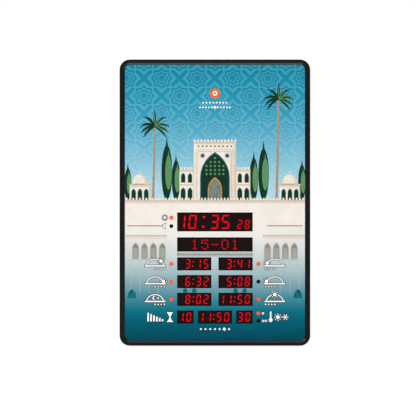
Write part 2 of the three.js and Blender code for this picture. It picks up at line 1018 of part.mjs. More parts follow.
// A set button drawn from the switch's base: stem, flange inside the cover, dished cap.
function setButton() {
  const base = control_board_back;
  const shift = clock_depth - base;
  const stem_end = base + switch_floor + button_travel + fit_gap;
  const flange_top = cover_inner - fit_gap;
  const flange_under = flange_top - button_flange_thickness;
  const cap_top = clock_depth - button_recess;
  const profile = [
    [0, stem_end],
    [button_stem_radius, stem_end],
    [button_stem_radius, flange_under],
    [button_radius + button_flange, flange_under],
    [button_radius + button_flange, flange_top],
    [button_radius, flange_top],
    [button_radius, cap_top - button_dish],
    [button_radius - button_dish, cap_top],
    [0, cap_top - button_dish],
  ];
  return turned(profile.map(([radius, depth]) => [radius, depth + shift]), button_sides);
}

const button_x = (i) =>
  control_board_center_x + (i - (button_names.length - 1) / 2) * button_pitch;

// Loudspeaker, which sits on the rear cover behind the grille and plays backwards

const speaker_face = cover_inner;
const basket_floor = speaker_face - speaker_basket_depth;
const coil_inner = pole_radius + (coil_gap - coil_wall) / 2;
const coil_outer = coil_inner + coil_wall;
const cone_radius = speaker_radius - speaker_flange_width - surround_width + fit_gap;

function speakerBasket() {
  const inner = speaker_radius - speaker_flange_width;
  const rear = basket_floor + speaker_wall;
  return turned(
    [
      [speaker_radius, speaker_face],
      [speaker_radius, speaker_face - speaker_flange],
      [inner + speaker_wall, speaker_face - speaker_flange],
      [inner + speaker_wall, speaker_face - speaker_step],
      [speaker_basket_floor_radius + speaker_wall, basket_floor],
      [pole_radius + coil_gap, basket_floor],
      [pole_radius + coil_gap, rear],
      [speaker_basket_floor_radius, rear],
      [inner, speaker_face - speaker_step],
      [inner, speaker_face],
      [speaker_radius, speaker_face],
    ],
    speaker_sides,
    0,
    speaker_z,
  );
}

function speakerMagnet() {
  const front = basket_floor - magnet_height;
  const well = front + yoke_thickness;
  return turned(
    [
      [0, front],
      [magnet_radius, front],
      [magnet_radius, basket_floor],
      [pole_radius + coil_gap, basket_floor],
      [pole_radius + coil_gap, well],
      [pole_radius, well],
      [pole_radius, basket_floor],
      [0, basket_floor],
    ],
    speaker_sides,
    0,
    speaker_z,
  );
}

// Coil former, paper cone and dust cap, which move as one.
function speakerCone() {
  const coil_end = basket_floor - magnet_height / 2;
  const neck = basket_floor + speaker_wall + cone_neck_rise;
  const rim = speaker_face - speaker_flange - surround_rise;
  const cap = neck + dust_cap_rise;
  const cap_side_share = 0.55;
  const cap_height_share = 0.75;
  const cap_side = coil_outer * cap_side_share;
  return turned(
    [
      [0, cap],
      [cap_side, neck + dust_cap_rise * cap_height_share],
      [coil_outer + cone_wall, neck + cone_wall],
      [cone_radius, rim + cone_wall],
      [cone_radius, rim],
      [coil_outer, neck - cone_wall],
      [coil_outer, coil_end],
      [coil_inner, coil_end],
      [coil_inner, neck],
      [cap_side, neck + dust_cap_rise * cap_height_share - cone_wall],
      [0, cap - cone_wall],
    ],
    speaker_sides,
    0,
    speaker_z,
  );
}

// A rubber half roll between the cone's edge and the basket's flange.
function speakerSurround() {
  const outer = speaker_radius - speaker_flange_width - fit_gap;
  const inner = cone_radius + fit_gap;
  const middle = (outer + inner) / 2;
  const low = speaker_face - speaker_flange - surround_rise;
  return turned(
    [
      [inner, low],
      [outer, low],
      [outer, low + surround_rise / 2],
      [middle, low + surround_rise + cone_wall],
      [inner, low + surround_rise / 2],
      [inner, low],
    ],
    speaker_sides,
    0,
    speaker_z,
  );
}

// Flat cables, each a strip along a gentle bow between two headers

function ribbon(x, strip_width, low, high) {
  const [low_z, low_depth] = low;
  const [high_z, high_depth] = high;
  const line = Array.from({ length: ribbon_steps + 1 }, (_, i) => {
    const share = i / ribbon_steps;
    const ease = share * share * (3 - 2 * share);
    const bow = ribbon_bow * Math.sin(Math.PI * share) ** 2;
    return [low_z + (high_z - low_z) * share, low_depth + (high_depth - low_depth) * ease + bow];
  });
  const half = ribbon_thickness / 2;
  const side = (way) => line.map(([z, depth]) => new THREE.Vector2(depth - clock_depth + way * half, z));
  const shape = new THREE.Shape([...side(1), ...side(-1).reverse()]);
  const geometry = new THREE.ExtrudeGeometry(shape, { depth: strip_width, bevelEnabled: false });
  geometry.applyMatrix4(
    new THREE.Matrix4().makeBasis(
      new THREE.Vector3(0, 1, 0),
      new THREE.Vector3(0, 0, 1),
      new THREE.Vector3(1, 0, 0),
    ),
  );
  geometry.translate(x - strip_width / 2, 0, 0);
  return solid(geometry);
}

const displayCable = () =>
  ribbon(
    ribbon_x,
    display_ribbon_width,
    [display_header_z + header.height / 2, display_board_back + header.thickness / 2],
    [main_header_z - header.height / 2, main_board_front - header.thickness / 2],
  );

const controlCable = () =>
  ribbon(
    control_ribbon_x,
    control_ribbon_width - fit_gap,
    [control_board_top, control_board_back + header.thickness / 2],
    [main_header_z - header.height / 2, main_board_back + header.thickness / 2],
  );

function speakerCable() {
  const start_depth = main_board_back + header.thickness / 2;
  const rear_side = start_depth + ribbon_thickness / 2;
  const depth_share = (rear_side - basket_floor) / (speaker_basket_depth - speaker_step);
  const slope = speaker_radius - speaker_flange_width - speaker_basket_floor_radius;
  const wall_radius = speaker_basket_floor_radius + speaker_wall + depth_share * slope;
  const near_edge = Math.abs(speaker_lead_x) - speaker_lead_width / 2;
  const span = Math.sqrt(wall_radius ** 2 - near_edge ** 2);
  return ribbon(
    speaker_lead_x,
    speaker_lead_width,
    [main_board_top - header.height / 2, start_depth],
    [speaker_z - span - 2 * fit_gap, start_depth],
  );
}

// Rear cover

const screw_seat = clock_depth - screw_head_recess - screw_head_height;

const wallBetween = (x0, x1, z0, z1, near) =>
  prism(rectangle(x0, x1, z0, z1), near, cover_inner + cover_thickness / 2);

function coverRibs() {
  const reach = rib_spacing / 2;
  const climb = half_height - frame_wall - slide_gap - lip_inset - lip_thickness / 2;
  const near = cover_inner - rib_height;
  const half = rib_thickness / 2;
  const uprights = [-1, 1].map((side) => {
    const x = side * reach;
    return wallBetween(x - half, x + half, -climb, climb, near);
  });
  const bars = [
    (display_board_top + main_board_bottom) / 2,
    (main_board_top + speaker_z - speaker_radius) / 2,
  ].map((z) => wallBetween(-reach, reach, z - half, z + half, near));
  return [...uprights, ...bars];
}

const coverLip = () => {
  const outer = frame_wall + slide_gap + lip_inset;
  const inner = outer + lip_thickness;
  const near = cover_inner - lip_height;
  const far = cover_inner + cover_thickness / 2;
  return sweptRing([
    [outer, near],
    [inner, near],
    [inner, far],
    [outer, far],
  ]);
};

// A boss, its pin through the board and the pin's melted head, as one turned piece.
function stake([x, z], board_front, board_back) {
  return turned(
    [
      [0, board_front - stake_head_height],
      [stake_head_radius, board_front],
      [stake_pin_radius, board_front],
      [stake_pin_radius, board_back],
      [stake_boss_radius, board_back],
      [stake_boss_radius, cover_inner + cover_thickness / 2],
      [0, cover_inner + cover_thickness / 2],
    ],
    small_round_sides,
    x,
    z,
  );
}

const keyhole_z = half_height - keyhole_from_top;
const keyhole_places = [-1, 1].map((side) => (side * keyhole_spacing) / 2);

// The keyhole's outline: a round entry and a slot above it that ends in a half circle.
// It runs anticlockwise, from the slot's left side round the entry and up the right side.
function keyholeOutline(x) {
  const entry = keyhole_entry_radius;
  const half = keyhole_slot_width / 2;
  const top = keyhole_z + keyhole_slot_length - half;
  const opening_angle = Math.asin(half / entry);
  const sweep = 2 * Math.PI - 2 * opening_angle;
  const circle = Array.from({ length: round_sides + 1 }, (_, i) => {
    const angle = Math.PI / 2 + opening_angle + (i / round_sides) * sweep;
    return [x + entry * Math.cos(angle), keyhole_z + entry * Math.sin(angle)];
  });
  const arc = Array.from({ length: small_round_sides / 2 + 1 }, (_, i) => {
    const angle = (2 * Math.PI * i) / small_round_sides;
    return [x + half * Math.cos(angle), top + half * Math.sin(angle)];
  });
  return [...circle, ...arc];
}

// A closed pocket behind the keyhole, wide enough for the wall screw's head.
function pocketOutline(x, margin) {
  const half = keyhole_entry_radius + margin;
  const top = keyhole_z + keyhole_slot_length + margin;
  return rectangle(x - half, x + half, keyhole_z - half, top);
}

function speakerSeat() {
  const inner = speaker_radius + fit_gap;
  const outer = inner + speaker_ring_wall;
  const near = cover_inner - speaker_ring_height;
  const far = cover_inner + cover_thickness / 2;
  const ring = turned(
    [
      [inner, near],
      [outer, near],
      [outer, far],
      [inner, far],
      [inner, near],
    ],
    speaker_sides,
    0,
    speaker_z,
  );
  const hooks = Array.from({ length: hook_count }, (_, i) => {
    const turn = (i / hook_count) * 2 * Math.PI + Math.PI / 2;
    const hook_back = cover_inner - speaker_flange - fit_gap;
    const corners = [
      [speaker_radius - hook_reach, -hook_width / 2],
      [outer - fit_gap, -hook_width / 2],
      [outer - fit_gap, hook_width / 2],
      [speaker_radius - hook_reach, hook_width / 2],
    ].map(([out, across]) => [
      out * Math.cos(turn) - across * Math.sin(turn),
      speaker_z + out * Math.sin(turn) + across * Math.cos(turn),
    ]);
    return prism(corners, hook_back - hook_thickness, hook_back);
  });
  return joined(ring, ...hooks);
}

// Slots that end on a circle, parted by a bar across the middle.
function grilleSlots() {
  return Array.from({ length: grille_slots }, (_, i) => {
    const x = (i - (grille_slots - 1) / 2) * grille_pitch;
    const reach = Math.sqrt(grille_radius ** 2 - x ** 2);
    const half = grille_slot_width / 2;
    return [
      rectangle(x - half, x + half, speaker_z + grille_bar_width / 2, speaker_z + reach),
      rectangle(x - half, x + half, speaker_z - reach, speaker_z - grille_bar_width / 2),
    ];
  }).flat();
}

const ventSlots = () =>
  Array.from({ length: vent_count }, (_, i) => {
    const x = (i - (vent_count - 1) / 2) * vent_pitch;
    const z = (row_middle(1) + row_middle(2)) / 2;
    return rectangle(x - vent_width / 2, x + vent_width / 2, z - vent_length / 2, z + vent_length / 2);
  });

function rearCover() {
  const through_near = cover_inner - rib_height - overrun;
  const through_far = clock_depth + overrun;
  const plate = prism(outline(frame_wall + slide_gap), cover_inner, clock_depth);
  const pads = boss_places.map(([x, z]) =>
    prism(polygon(x, z, pad_radius, small_round_sides), cover_inner - pad_height, cover_inner + overrun),
  );
  const stakes = [
    ...display_stakes.map((place) => stake(place, display_back, display_board_back)),
    ...main_stakes.map((place) => stake(place, main_board_front, main_board_back)),
    ...control_stakes.map((place) => stake(place, control_board_front, control_board_back)),
  ];
  const pocket_depth = cover_inner - keyhole_pocket_depth;
  const pockets = keyhole_places.map((x) =>
    prism(
      pocketOutline(x, keyhole_pocket_margin + keyhole_pocket_wall),
      pocket_depth - keyhole_pocket_wall,
      cover_inner + overrun,
    ),
  );
  const body = joined(
    plate,
    coverLip(),
    ...coverRibs(),
    ...pads,
    ...stakes,
    ...pockets,
    speakerSeat(),
  );
  const pocket_spaces = keyhole_places.map((x) =>
    prism(pocketOutline(x, keyhole_pocket_margin), pocket_depth, cover_inner),
  );
  const keyholes = keyhole_places.map((x) =>
    prism(keyholeOutline(x), cover_inner - overrun, through_far),
  );
  const screw_holes = boss_places.map(([x, z]) =>
    turned(
      [
        [0, through_near],
        [screw_shank_radius + fit_gap, through_near],
        [screw_shank_radius + fit_gap, screw_seat],
        [screw_head_radius + fit_gap, screw_seat],
        [screw_head_radius + fit_gap, through_far],
        [0, through_far],
      ],
      small_round_sides,
      x,
      z,
    ),
  );
  const button_holes = button_names.map((_, i) =>
    polygon(button_x(i), button_z, button_radius + fit_gap, button_sides),
  );
  return cut(
    body,
    ...pocket_spaces,
    ...keyholes,
    ...screw_holes,
    prisms([...button_holes, ...grilleSlots(), ...ventSlots()], through_near, through_far),
  );
}

// A pan-head screw drawn from its seat, its head towards the wall.
function coverScrew() {
  const seat = clock_depth;
  const crown = seat + screw_head_height;
  return turned(
    [
      [0, seat - screw_length],
      [screw_shank_radius, seat - screw_length + screw_shank_radius],
      [screw_shank_radius, seat],
      [screw_head_radius, seat],
      [screw_head_radius, crown - screw_head_height / 2],
      [screw_head_radius * Math.cos(Math.PI / 4), crown],
      [0, crown],
    ],
    small_round_sides,
  );
}

// Assembly

// A copy of a repeated piece, placed by its own position.
function placed(name, made, finish, x, depth, z) {
  const mesh = meshOf(name, made, finish);
  mesh.position.set(x, depth - clock_depth, z);
  return mesh;
}

const front_assembly = groupOf(
  meshOf("front_frame", frontFrame(), "black_plastic"),
  meshOf("printed_sheet", facePlate(sheet_front, sheet_back), "printed_film"),
  meshOf("front_panel", facePlate(sheet_back, panel_back), "panel_plastic"),
  meshOf("panel_tape", panelTape(), "tape"),
);

const lamp_solid = lampBody();
const display_assembly = groupOf(
  ...windows.map((opening) => meshOf(opening.name, displayOf(opening), "red_display")),
  meshOf("display_board", displayBoard(), "board_green"),
  ...lamps.map(({ name, x, z, lit }) =>
    placed(name, lamp_solid, lit ? "lit_lamp" : "unlit_lamp", x, display_back, z),
  ),
  meshOf("remote_receiver", remoteReceiver(), "chip_black"),
);

const main_assembly = groupOf(
  meshOf("main_board", mainBoard(), "board_green"),
  meshOf("controller_chip", controllerChip(), "chip_black"),
  meshOf("coin_cell_holder", coinCellHolder(), "chip_black"),
  meshOf("coin_cell", coinCell(), "steel"),
);

const switch_solid = switchBody();
const button_solid = setButton();
const control_assembly = groupOf(
  meshOf("control_board", controlBoard(), "board_green"),
  meshOf("dc_jack", powerSocket(), "chip_black"),
  meshOf("dc_jack_pin", socketPin(), "steel"),
  meshOf("temperature_sensor", temperatureSensor(), "chip_black"),
  ...button_names.flatMap((name, i) => [
    placed(name + "_switch", switch_solid, "chip_black", button_x(i), control_board_back, button_z),
    placed(name + "_button", button_solid, "key_rubber", button_x(i), control_board_back, button_z),
  ]),
);

const speaker_assembly = groupOf(
  meshOf("speaker_basket", speakerBasket(), "steel"),
  meshOf("speaker_magnet", speakerMagnet(), "ferrite"),
  meshOf("speaker_cone", speakerCone(), "cone_paper"),
  meshOf("speaker_surround", speakerSurround(), "rubber"),
);

const cable_assembly = groupOf(
  meshOf("display_cable", displayCable(), "cable_grey"),
  meshOf("control_cable", controlCable(), "cable_grey"),
  meshOf("speaker_cable", speakerCable(), "cable_grey"),
);

const screw_solid = coverScrew();
const rear_assembly = groupOf(
  meshOf("rear_cover", rearCover(), "cover_plastic"),
  ...boss_places.map(([x, z], i) =>
    placed("cover_screw_" + (i + 1), screw_solid, "zinc_screw", x, screw_seat, z),
  ),
);

const clock = new THREE.Group();
clock.name = "azan_clock";
clock.add(
  front_assembly,
  display_assembly,
  main_assembly,
  control_assembly,
  speaker_assembly,
  cable_assembly,
  rear_assembly,
);

export default clock;
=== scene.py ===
# %% [markdown]
# # A wall clock for prayer times
#
# The clock is a flat black frame round a printed front. Dark windows in the print show red
# numbers, and small orange lamps say which prayer comes next. The measured model comes first
# and gives every size and place. This script adds what the measured model leaves plain: the
# smooth frame, the print, the glow of the displays and lamps, the outer face of the cover, the
# keys and screws, and a finish for every surface.

# %% Load the measured model
import math

import bmesh
import bpy
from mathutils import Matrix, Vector


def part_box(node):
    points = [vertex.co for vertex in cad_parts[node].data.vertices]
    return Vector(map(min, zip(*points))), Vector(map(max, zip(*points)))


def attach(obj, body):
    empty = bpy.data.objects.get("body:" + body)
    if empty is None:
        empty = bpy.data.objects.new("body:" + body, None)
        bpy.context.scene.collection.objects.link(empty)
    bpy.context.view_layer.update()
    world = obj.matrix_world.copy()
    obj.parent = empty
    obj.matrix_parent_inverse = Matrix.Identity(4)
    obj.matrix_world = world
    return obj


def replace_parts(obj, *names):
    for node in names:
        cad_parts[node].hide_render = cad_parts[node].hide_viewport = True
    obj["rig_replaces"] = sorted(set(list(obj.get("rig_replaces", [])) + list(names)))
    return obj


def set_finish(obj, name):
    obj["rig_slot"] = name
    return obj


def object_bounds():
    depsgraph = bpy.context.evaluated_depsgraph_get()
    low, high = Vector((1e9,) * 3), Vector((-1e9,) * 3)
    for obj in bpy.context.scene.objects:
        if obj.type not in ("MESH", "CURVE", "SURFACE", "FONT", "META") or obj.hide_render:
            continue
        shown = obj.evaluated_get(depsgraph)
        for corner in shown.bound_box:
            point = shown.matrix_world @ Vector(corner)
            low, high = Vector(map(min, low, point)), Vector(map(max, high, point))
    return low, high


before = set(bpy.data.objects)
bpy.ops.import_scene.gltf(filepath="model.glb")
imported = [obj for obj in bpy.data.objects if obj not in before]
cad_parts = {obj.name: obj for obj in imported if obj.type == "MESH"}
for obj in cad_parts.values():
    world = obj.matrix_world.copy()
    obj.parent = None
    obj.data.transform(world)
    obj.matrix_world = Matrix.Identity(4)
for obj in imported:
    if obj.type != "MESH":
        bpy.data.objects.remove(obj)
cad_low, cad_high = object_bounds()
mm = 0.001
print("width, depth and height in mm:", [round(side / mm) for side in cad_high - cad_low])

# %% [markdown]
# ## The camera and the picture
#
# A product photograph of a flat clock is taken from far away with a long lens, so that its
# sides don't show. The lens follows from the distance and from how much of the clock's plane
# the square picture covers. The clock stands a little right of the middle and a little above.

# %% Place the camera
picture_pixels = 416
picture_width = 726.4 * mm
clock_center_pixel_x = 214.92
clock_center_pixel_y = 202.63
camera_distance = 6.0
pixel = picture_width / picture_pixels
front_y = cad_low.y
upright = (math.pi / 2, 0, 0)

camera_data = bpy.data.cameras.new("camera")
camera_data.sensor_width = 36
camera_data.lens = camera_data.sensor_width * camera_distance / picture_width
camera_data.clip_end = 100
camera = bpy.data.objects.new("camera", camera_data)
camera.location = (
    (picture_pixels / 2 - clock_center_pixel_x) * pixel,
    front_y - camera_distance,
    (clock_center_pixel_y - picture_pixels / 2) * pixel,
)
camera.rotation_euler = upright
bpy.context.collection.objects.link(camera)
bpy.context.scene.camera = camera
print("lens in mm:", round(camera_data.lens))

# %% [markdown]
# ## Light
#
# A clock on a white page is lit by large soft lamps. One stands high at the left, so each
# window is a little darker along its top and left edges. A long one above and one below give
# the bevel of the rim its pale line, and one behind lights the rear cover. The camera doesn't
# see the lamps. The world is white where the camera or a reflection looks at it, and dimmer
# where it only lights the clock.

# %% Lamps
clock_middle = Vector((0, 0, 0))
studio_lamps = [
    # name, place, width and height in metres, power in watts
    ("key_lamp", (-1.5, -2.2, 1.5), 1.1, 1.1, 31),
    ("fill_lamp", (1.7, -2.4, -1.0), 1.4, 1.4, 14),
    ("upper_strip", (0, -1.3, 1.11), 1.3, 0.14, 4.5),
    ("lower_strip", (0, -1.3, -1.11), 1.3, 0.14, 8),
    ("rear_lamp", (1.0, 2.4, 1.2), 1.6, 1.6, 34),
]
for name, place, width, height, power in studio_lamps:
    data = bpy.data.lights.new(name, "AREA")
    data.shape = "RECTANGLE"
    data.size, data.size_y, data.energy = width, height, power
    lamp = bpy.data.objects.new(name, data)
    lamp.location = place
    lamp.rotation_euler = (clock_middle - Vector(place)).to_track_quat("-Z", "Y").to_euler()
    lamp.visible_camera = False
    bpy.context.collection.objects.link(lamp)
print("lamps:", len(studio_lamps), "with", sum(row[-1] for row in studio_lamps), "watts")

# %% World
ambient_strength = 0.4
world = bpy.data.worlds.new("studio")
bpy.context.scene.world = world
world.use_nodes = True
sky_nodes = world.node_tree.nodes
sky_links = world.node_tree.links
ambient = sky_nodes["Background"]
page = sky_nodes.new("ShaderNodeBackground")
for background, strength in ((ambient, ambient_strength), (page, 1)):
    background.inputs["Color"].default_value = (1, 1, 1, 1)
    background.inputs["Strength"].default_value = strength
rays = sky_nodes.new("ShaderNodeLightPath")
shows_page = rays.outputs["Is Camera Ray"]
for kind in ("Is Glossy Ray", "Is Transmission Ray"):
    either = sky_nodes.new("ShaderNodeMath")
    either.operation = "MAXIMUM"
    sky_links.new(shows_page, either.inputs[0])
    sky_links.new(rays.outputs[kind], either.inputs[1])
    shows_page = either.outputs[0]
choice = sky_nodes.new("ShaderNodeMixShader")
sky_links.new(shows_page, choice.inputs["Fac"])
sky_links.new(ambient.outputs[0], choice.inputs[1])
sky_links.new(page.outputs[0], choice.inputs[2])
sky_links.new(choice.outputs[0], sky_nodes["World Output"].inputs["Surface"])
bpy.context.scene.view_settings.view_transform = "Standard"

# %% [markdown]
# ## Small helpers for modelling
#
# An operator acts on all that is selected. So each piece starts with nothing selected, and
# inside a piece the faces or edges are picked by where they are. The steps that come back in
# every moulding have names of their own: push, weld, join, soften and carve.

# %% Selecting pieces and faces
def start_fresh():
    if bpy.context.object and bpy.context.object.mode == "EDIT":
        bpy.ops.object.mode_set(mode="OBJECT")
    bpy.ops.object.select_all(action="DESELECT")


def take(*pieces):
    """Selects these pieces alone, and makes the first one the piece that is worked on."""
    start_fresh()
    for piece in pieces:
        piece.select_set(True)
    bpy.context.view_layer.objects.active = pieces[0]


def select_everything():
    bpy.ops.mesh.select_all(action="SELECT")


def open_mesh():
    bpy.ops.object.mode_set(mode="EDIT")
    select_everything()


def close_mesh():
    bpy.ops.object.mode_set(mode="OBJECT")
    return bpy.context.object


def pick(kind, test):
    """Selects the faces or edges of the open mesh for which the test holds."""
    bpy.ops.mesh.select_mode(type={"faces": "FACE", "edges": "EDGE"}[kind])
    bpy.ops.mesh.select_all(action="DESELECT")
    mesh = bpy.context.object.data
    shape = bmesh.from_edit_mesh(mesh)
    for element in getattr(shape, kind):
        if test(element):
            element.select_set(True)
    bmesh.update_edit_mesh(mesh)


near_distance = 0.02 * mm


def near(first, second):
    return abs(first - second) < near_distance


def middle_of(node):
    low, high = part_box(node)
    return (low + high) / 2


def facing_face(y, normal_y):
    """A test for the faces at depth y that look to the front (-1) or to the back (1)."""

    def test(face):
        return near(face.calc_center_median().y, y) and face.normal.y * normal_y > 0.9

    return test


# %% Pushing, joining and cutting
weld_distance = 0.001 * mm


def push(distance):
    """Extrudes what is selected along the depth of the clock."""
    bpy.ops.mesh.extrude_region_move(TRANSFORM_OT_translate={"value": (0, distance, 0)})


def face_outwards():
    select_everything()
    bpy.ops.mesh.normals_make_consistent(inside=False)


def weld():
    select_everything()
    bpy.ops.mesh.remove_doubles(threshold=weld_distance)


def open_plate(place, width, height, corner, segments, unit=1):
    """A flat face to the front with rounded corners, open and selected."""
    start_fresh()
    bpy.ops.mesh.primitive_plane_add(size=unit, location=place, rotation=upright)
    bpy.context.object.scale = (width, height, 1)
    bpy.ops.object.transform_apply()
    open_mesh()
    bpy.ops.mesh.bevel(offset=corner, segments=segments, affect="VERTICES")
    select_everything()


def join(parts):
    take(*parts)
    bpy.ops.object.join()
    return parts[0]


def smooth(degrees):
    bpy.ops.object.shade_smooth_by_angle(angle=math.radians(degrees))


# %% Rounding and cutting
sharp_edge = 30


def soften(piece, width):
    """Rounds the piece's sharp edges a little, as a mould does, and shades it smooth."""
    take(piece)
    smooth(sharp_edge)
    rounding = piece.modifiers.new("rounding", "BEVEL")
    rounding.width = width
    rounding.segments = 2
    rounding.limit_method = "ANGLE"
    rounding.angle_limit = math.radians(sharp_edge)
    rounding.harden_normals = True
    bpy.ops.object.modifier_apply(modifier=rounding.name)


def carve(piece, tool):
    """Cuts the tool's shape out of the piece and takes the tool away."""
    take(piece)
    cutting = piece.modifiers.new("cutting", "BOOLEAN")
    cutting.operation = "DIFFERENCE"
    cutting.solver = "EXACT"
    cutting.object = tool
    bpy.ops.object.modifier_apply(modifier=cutting.name)
    bpy.data.objects.remove(tool)


# %% Giving a piece its name and place
def register(piece, name, slot, body="housing", replaced=()):
    """Says what the piece is called, what it rides on and what it stands in for."""
    piece.name = name
    piece.data.name = name
    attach(piece, body)
    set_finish(piece, slot)
    if replaced:
        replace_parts(piece, *replaced)
    return piece


def settle(name, slot, body="housing", replaced=()):
    """Leaves the open piece closed, at the origin and riding on its body."""
    if bpy.context.object.mode == "EDIT":
        weld()
        face_outwards()
        close_mesh()
    bpy.ops.object.transform_apply()
    return register(bpy.context.object, name, slot, body, replaced)


def copy_to(piece, name, shift, slot, replaced):
    """A second piece with a mesh of its own, moved by the shift."""
    twin = piece.copy()
    twin.data = piece.data.copy()
    for point in twin.data.vertices:
        point.co += shift
    bpy.context.collection.objects.link(twin)
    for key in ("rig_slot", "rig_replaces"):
        if key in twin:
            del twin[key]
    return register(twin, name, slot, replaced=replaced)


def merged_copy(node):
    """A copy of a measured part whose loose triangles are joined, open in edit mode."""
    copy = bpy.data.objects.new(node + "_copy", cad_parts[node].data.copy())
    bpy.context.collection.objects.link(copy)
    take(copy)
    open_mesh()
    weld()
    return copy


def clear_flat_edges():
    """Takes out the edges between triangles that lie in one plane."""
    bpy.ops.mesh.dissolve_limited(angle_limit=math.radians(0.5))


# %% [markdown]
# ## Small helpers for finishes
#
# A finish is a small graph of nodes. Its patterns are worked out from the place of each point
# on the clock, in metres, so the print lines up with the windows and nothing slides when the
# camera moves.

# %% Building finishes
def paint(red, green, blue):
    """A colour read from a picture, from 0 to 255, as the light values that a shader takes."""

    def light(level):
        share = level / 255
        return share / 12.92 if share <= 0.04045 else ((share + 0.055) / 1.055) ** 2.4

    return (light(red), light(green), light(blue), 1)


class Finish:
    """A material with one glossy or matt shader, and short ways to add nodes to it."""

    def __init__(self, name):
        self.material = bpy.data.materials.new(name)
        self.material.use_nodes = True
        self.nodes = self.material.node_tree.nodes
        self.shader = self.nodes["Principled BSDF"]
        self.place = self.add("ShaderNodeTexCoord").outputs["Object"]

    def add(self, kind, **settings):
        made = self.nodes.new(kind)
        for name, value in settings.items():
            setattr(made, name, value)
        return made

    def link(self, start, end):
        self.material.node_tree.links.new(start, end)

    def feed(self, socket, value):
        if isinstance(value, bpy.types.NodeSocket):
            self.link(value, socket)
        else:
            socket.default_value = value

    def calc(self, operation, *values):
        made = self.add("ShaderNodeMath", operation=operation)
        for socket, value in zip(made.inputs, values):
            self.feed(socket, value)
        return made.outputs[0]

    def axes(self):
        return self.split(self.place)

    def split(self, vector):
        made = self.add("ShaderNodeSeparateXYZ")
        self.link(vector, made.inputs[0])
        return made.outputs

    def stretch(self, value, low, high, new_low, new_high):
        made = self.add("ShaderNodeMapRange", interpolation_type="SMOOTHSTEP")
        for socket, number in zip(made.inputs, (value, low, high, new_low, new_high)):
            self.feed(socket, number)
        return made.outputs[0]

    def mix(self, amount, first, second):
        made = self.add("ShaderNodeMix", data_type="RGBA")
        self.feed(made.inputs[0], amount)
        self.feed(made.inputs[6], first)
        self.feed(made.inputs[7], second)
        return made.outputs[2]

    def fill(self, node, **values):
        """Sets or links the node's inputs by name, with a low line for each space."""
        for name, value in values.items():
            self.feed(node.inputs[name.replace("_", " ")], value)
        return node.outputs

    def noise(self, scale, detail=3.0, roughness=0.5):
        made = self.add("ShaderNodeTexNoise")
        values = {"Scale": scale, "Detail": detail, "Roughness": roughness}
        return self.fill(made, Vector=self.place, **values)["Fac"]

    def ramp(self, value, stops):
        made = self.add("ShaderNodeValToRGB")
        points = made.color_ramp.elements
        while len(points) < len(stops):
            points.new(1)
        for point, (position, color) in zip(points, stops):
            point.position = position
            point.color = color
        self.link(value, made.inputs[0])
        return made.outputs[0]

    def relief(self, height, strength, distance):
        made = self.add("ShaderNodeBump")
        normal = self.fill(made, Strength=strength, Distance=distance, Height=height)["Normal"]
        self.set(Normal=normal)

    def set(self, **values):
        self.fill(self.shader, **values)

    def put_on(self, *pieces):
        for piece in pieces:
            piece.data.materials.clear()
            piece.data.materials.append(self.material)


# %% Finishes of the hard parts
dark_share = 0.82
roughness_spread = 0.15


def moulded(name, color, roughness, grain, depth, specular=0.5, metal=0.0):
    """A moulded or rolled surface: a fine grain, and a roughness that varies a little."""
    made = Finish(name)
    fine = made.noise(grain, 4.0, 0.6)
    broad = made.noise(grain / 60, 2.0)
    darker = tuple(channel * dark_share for channel in color[:3]) + (1,)
    smoothest, roughest = roughness * (1 - roughness_spread), roughness * (1 + roughness_spread)
    made.set(
        Base_Color=made.mix(broad, darker, color),
        Roughness=made.stretch(fine, 0.3, 0.7, smoothest, roughest),
        Metallic=metal,
        Specular_IOR_Level=specular,
    )
    made.relief(fine, 0.35, depth)
    return made


frame_black = moulded("frame_black", paint(12, 12, 13), 0.2, 900, 0.002 * mm, specular=0.12)
cover_black = moulded("cover_black", paint(38, 38, 40), 0.62, 2600, 0.05 * mm, specular=0.4)
panel_dark = moulded("panel_dark", paint(34, 34, 36), 0.6, 1200, 0.02 * mm, specular=0.3)
component_black = moulded("component_black", paint(30, 30, 32), 0.5, 3000, 0.01 * mm)
tape_white = moulded("tape_white", paint(228, 226, 219), 0.8, 2400, 0.03 * mm)
board_green = moulded("board_green", paint(28, 92, 54), 0.35, 1500, 0.01 * mm)
nickel = moulded("nickel", paint(196, 194, 188), 0.28, 1800, 0.004 * mm, metal=1.0)
zinc = moulded("zinc", paint(176, 180, 186), 0.34, 1800, 0.006 * mm, metal=1.0)
ferrite = moulded("ferrite", paint(66, 66, 70), 0.7, 2200, 0.02 * mm)
cone_paper = moulded("cone_paper", paint(46, 45, 44), 0.9, 3200, 0.06 * mm)
surround_rubber = moulded("surround_rubber", paint(24, 24, 25), 0.62, 1500, 0.01 * mm)
key_rubber = moulded("key_rubber", paint(62, 63, 66), 0.6, 2800, 0.02 * mm)
cable_grey = moulded("cable_grey", paint(168, 171, 176), 0.55, 1400, 0.02 * mm)

# %% [markdown]
# ## The moulded frame
#
# On the real clock this is one injection moulding: a rim with a rounded outer edge, a bevel
# that slopes down to the print, a ledge that the panel lies on, deep side walls, and a boss
# at each screw. It starts as one flat face with rounded corners. Insets and extrusions then
# give the rim, the bevel and the ledge, with the same corner curve at each step. The flat rim
# and the bevel each end in a very narrow face: only these narrow faces blend their shading, so
# the bevel stays flat and throws one clean line of light.

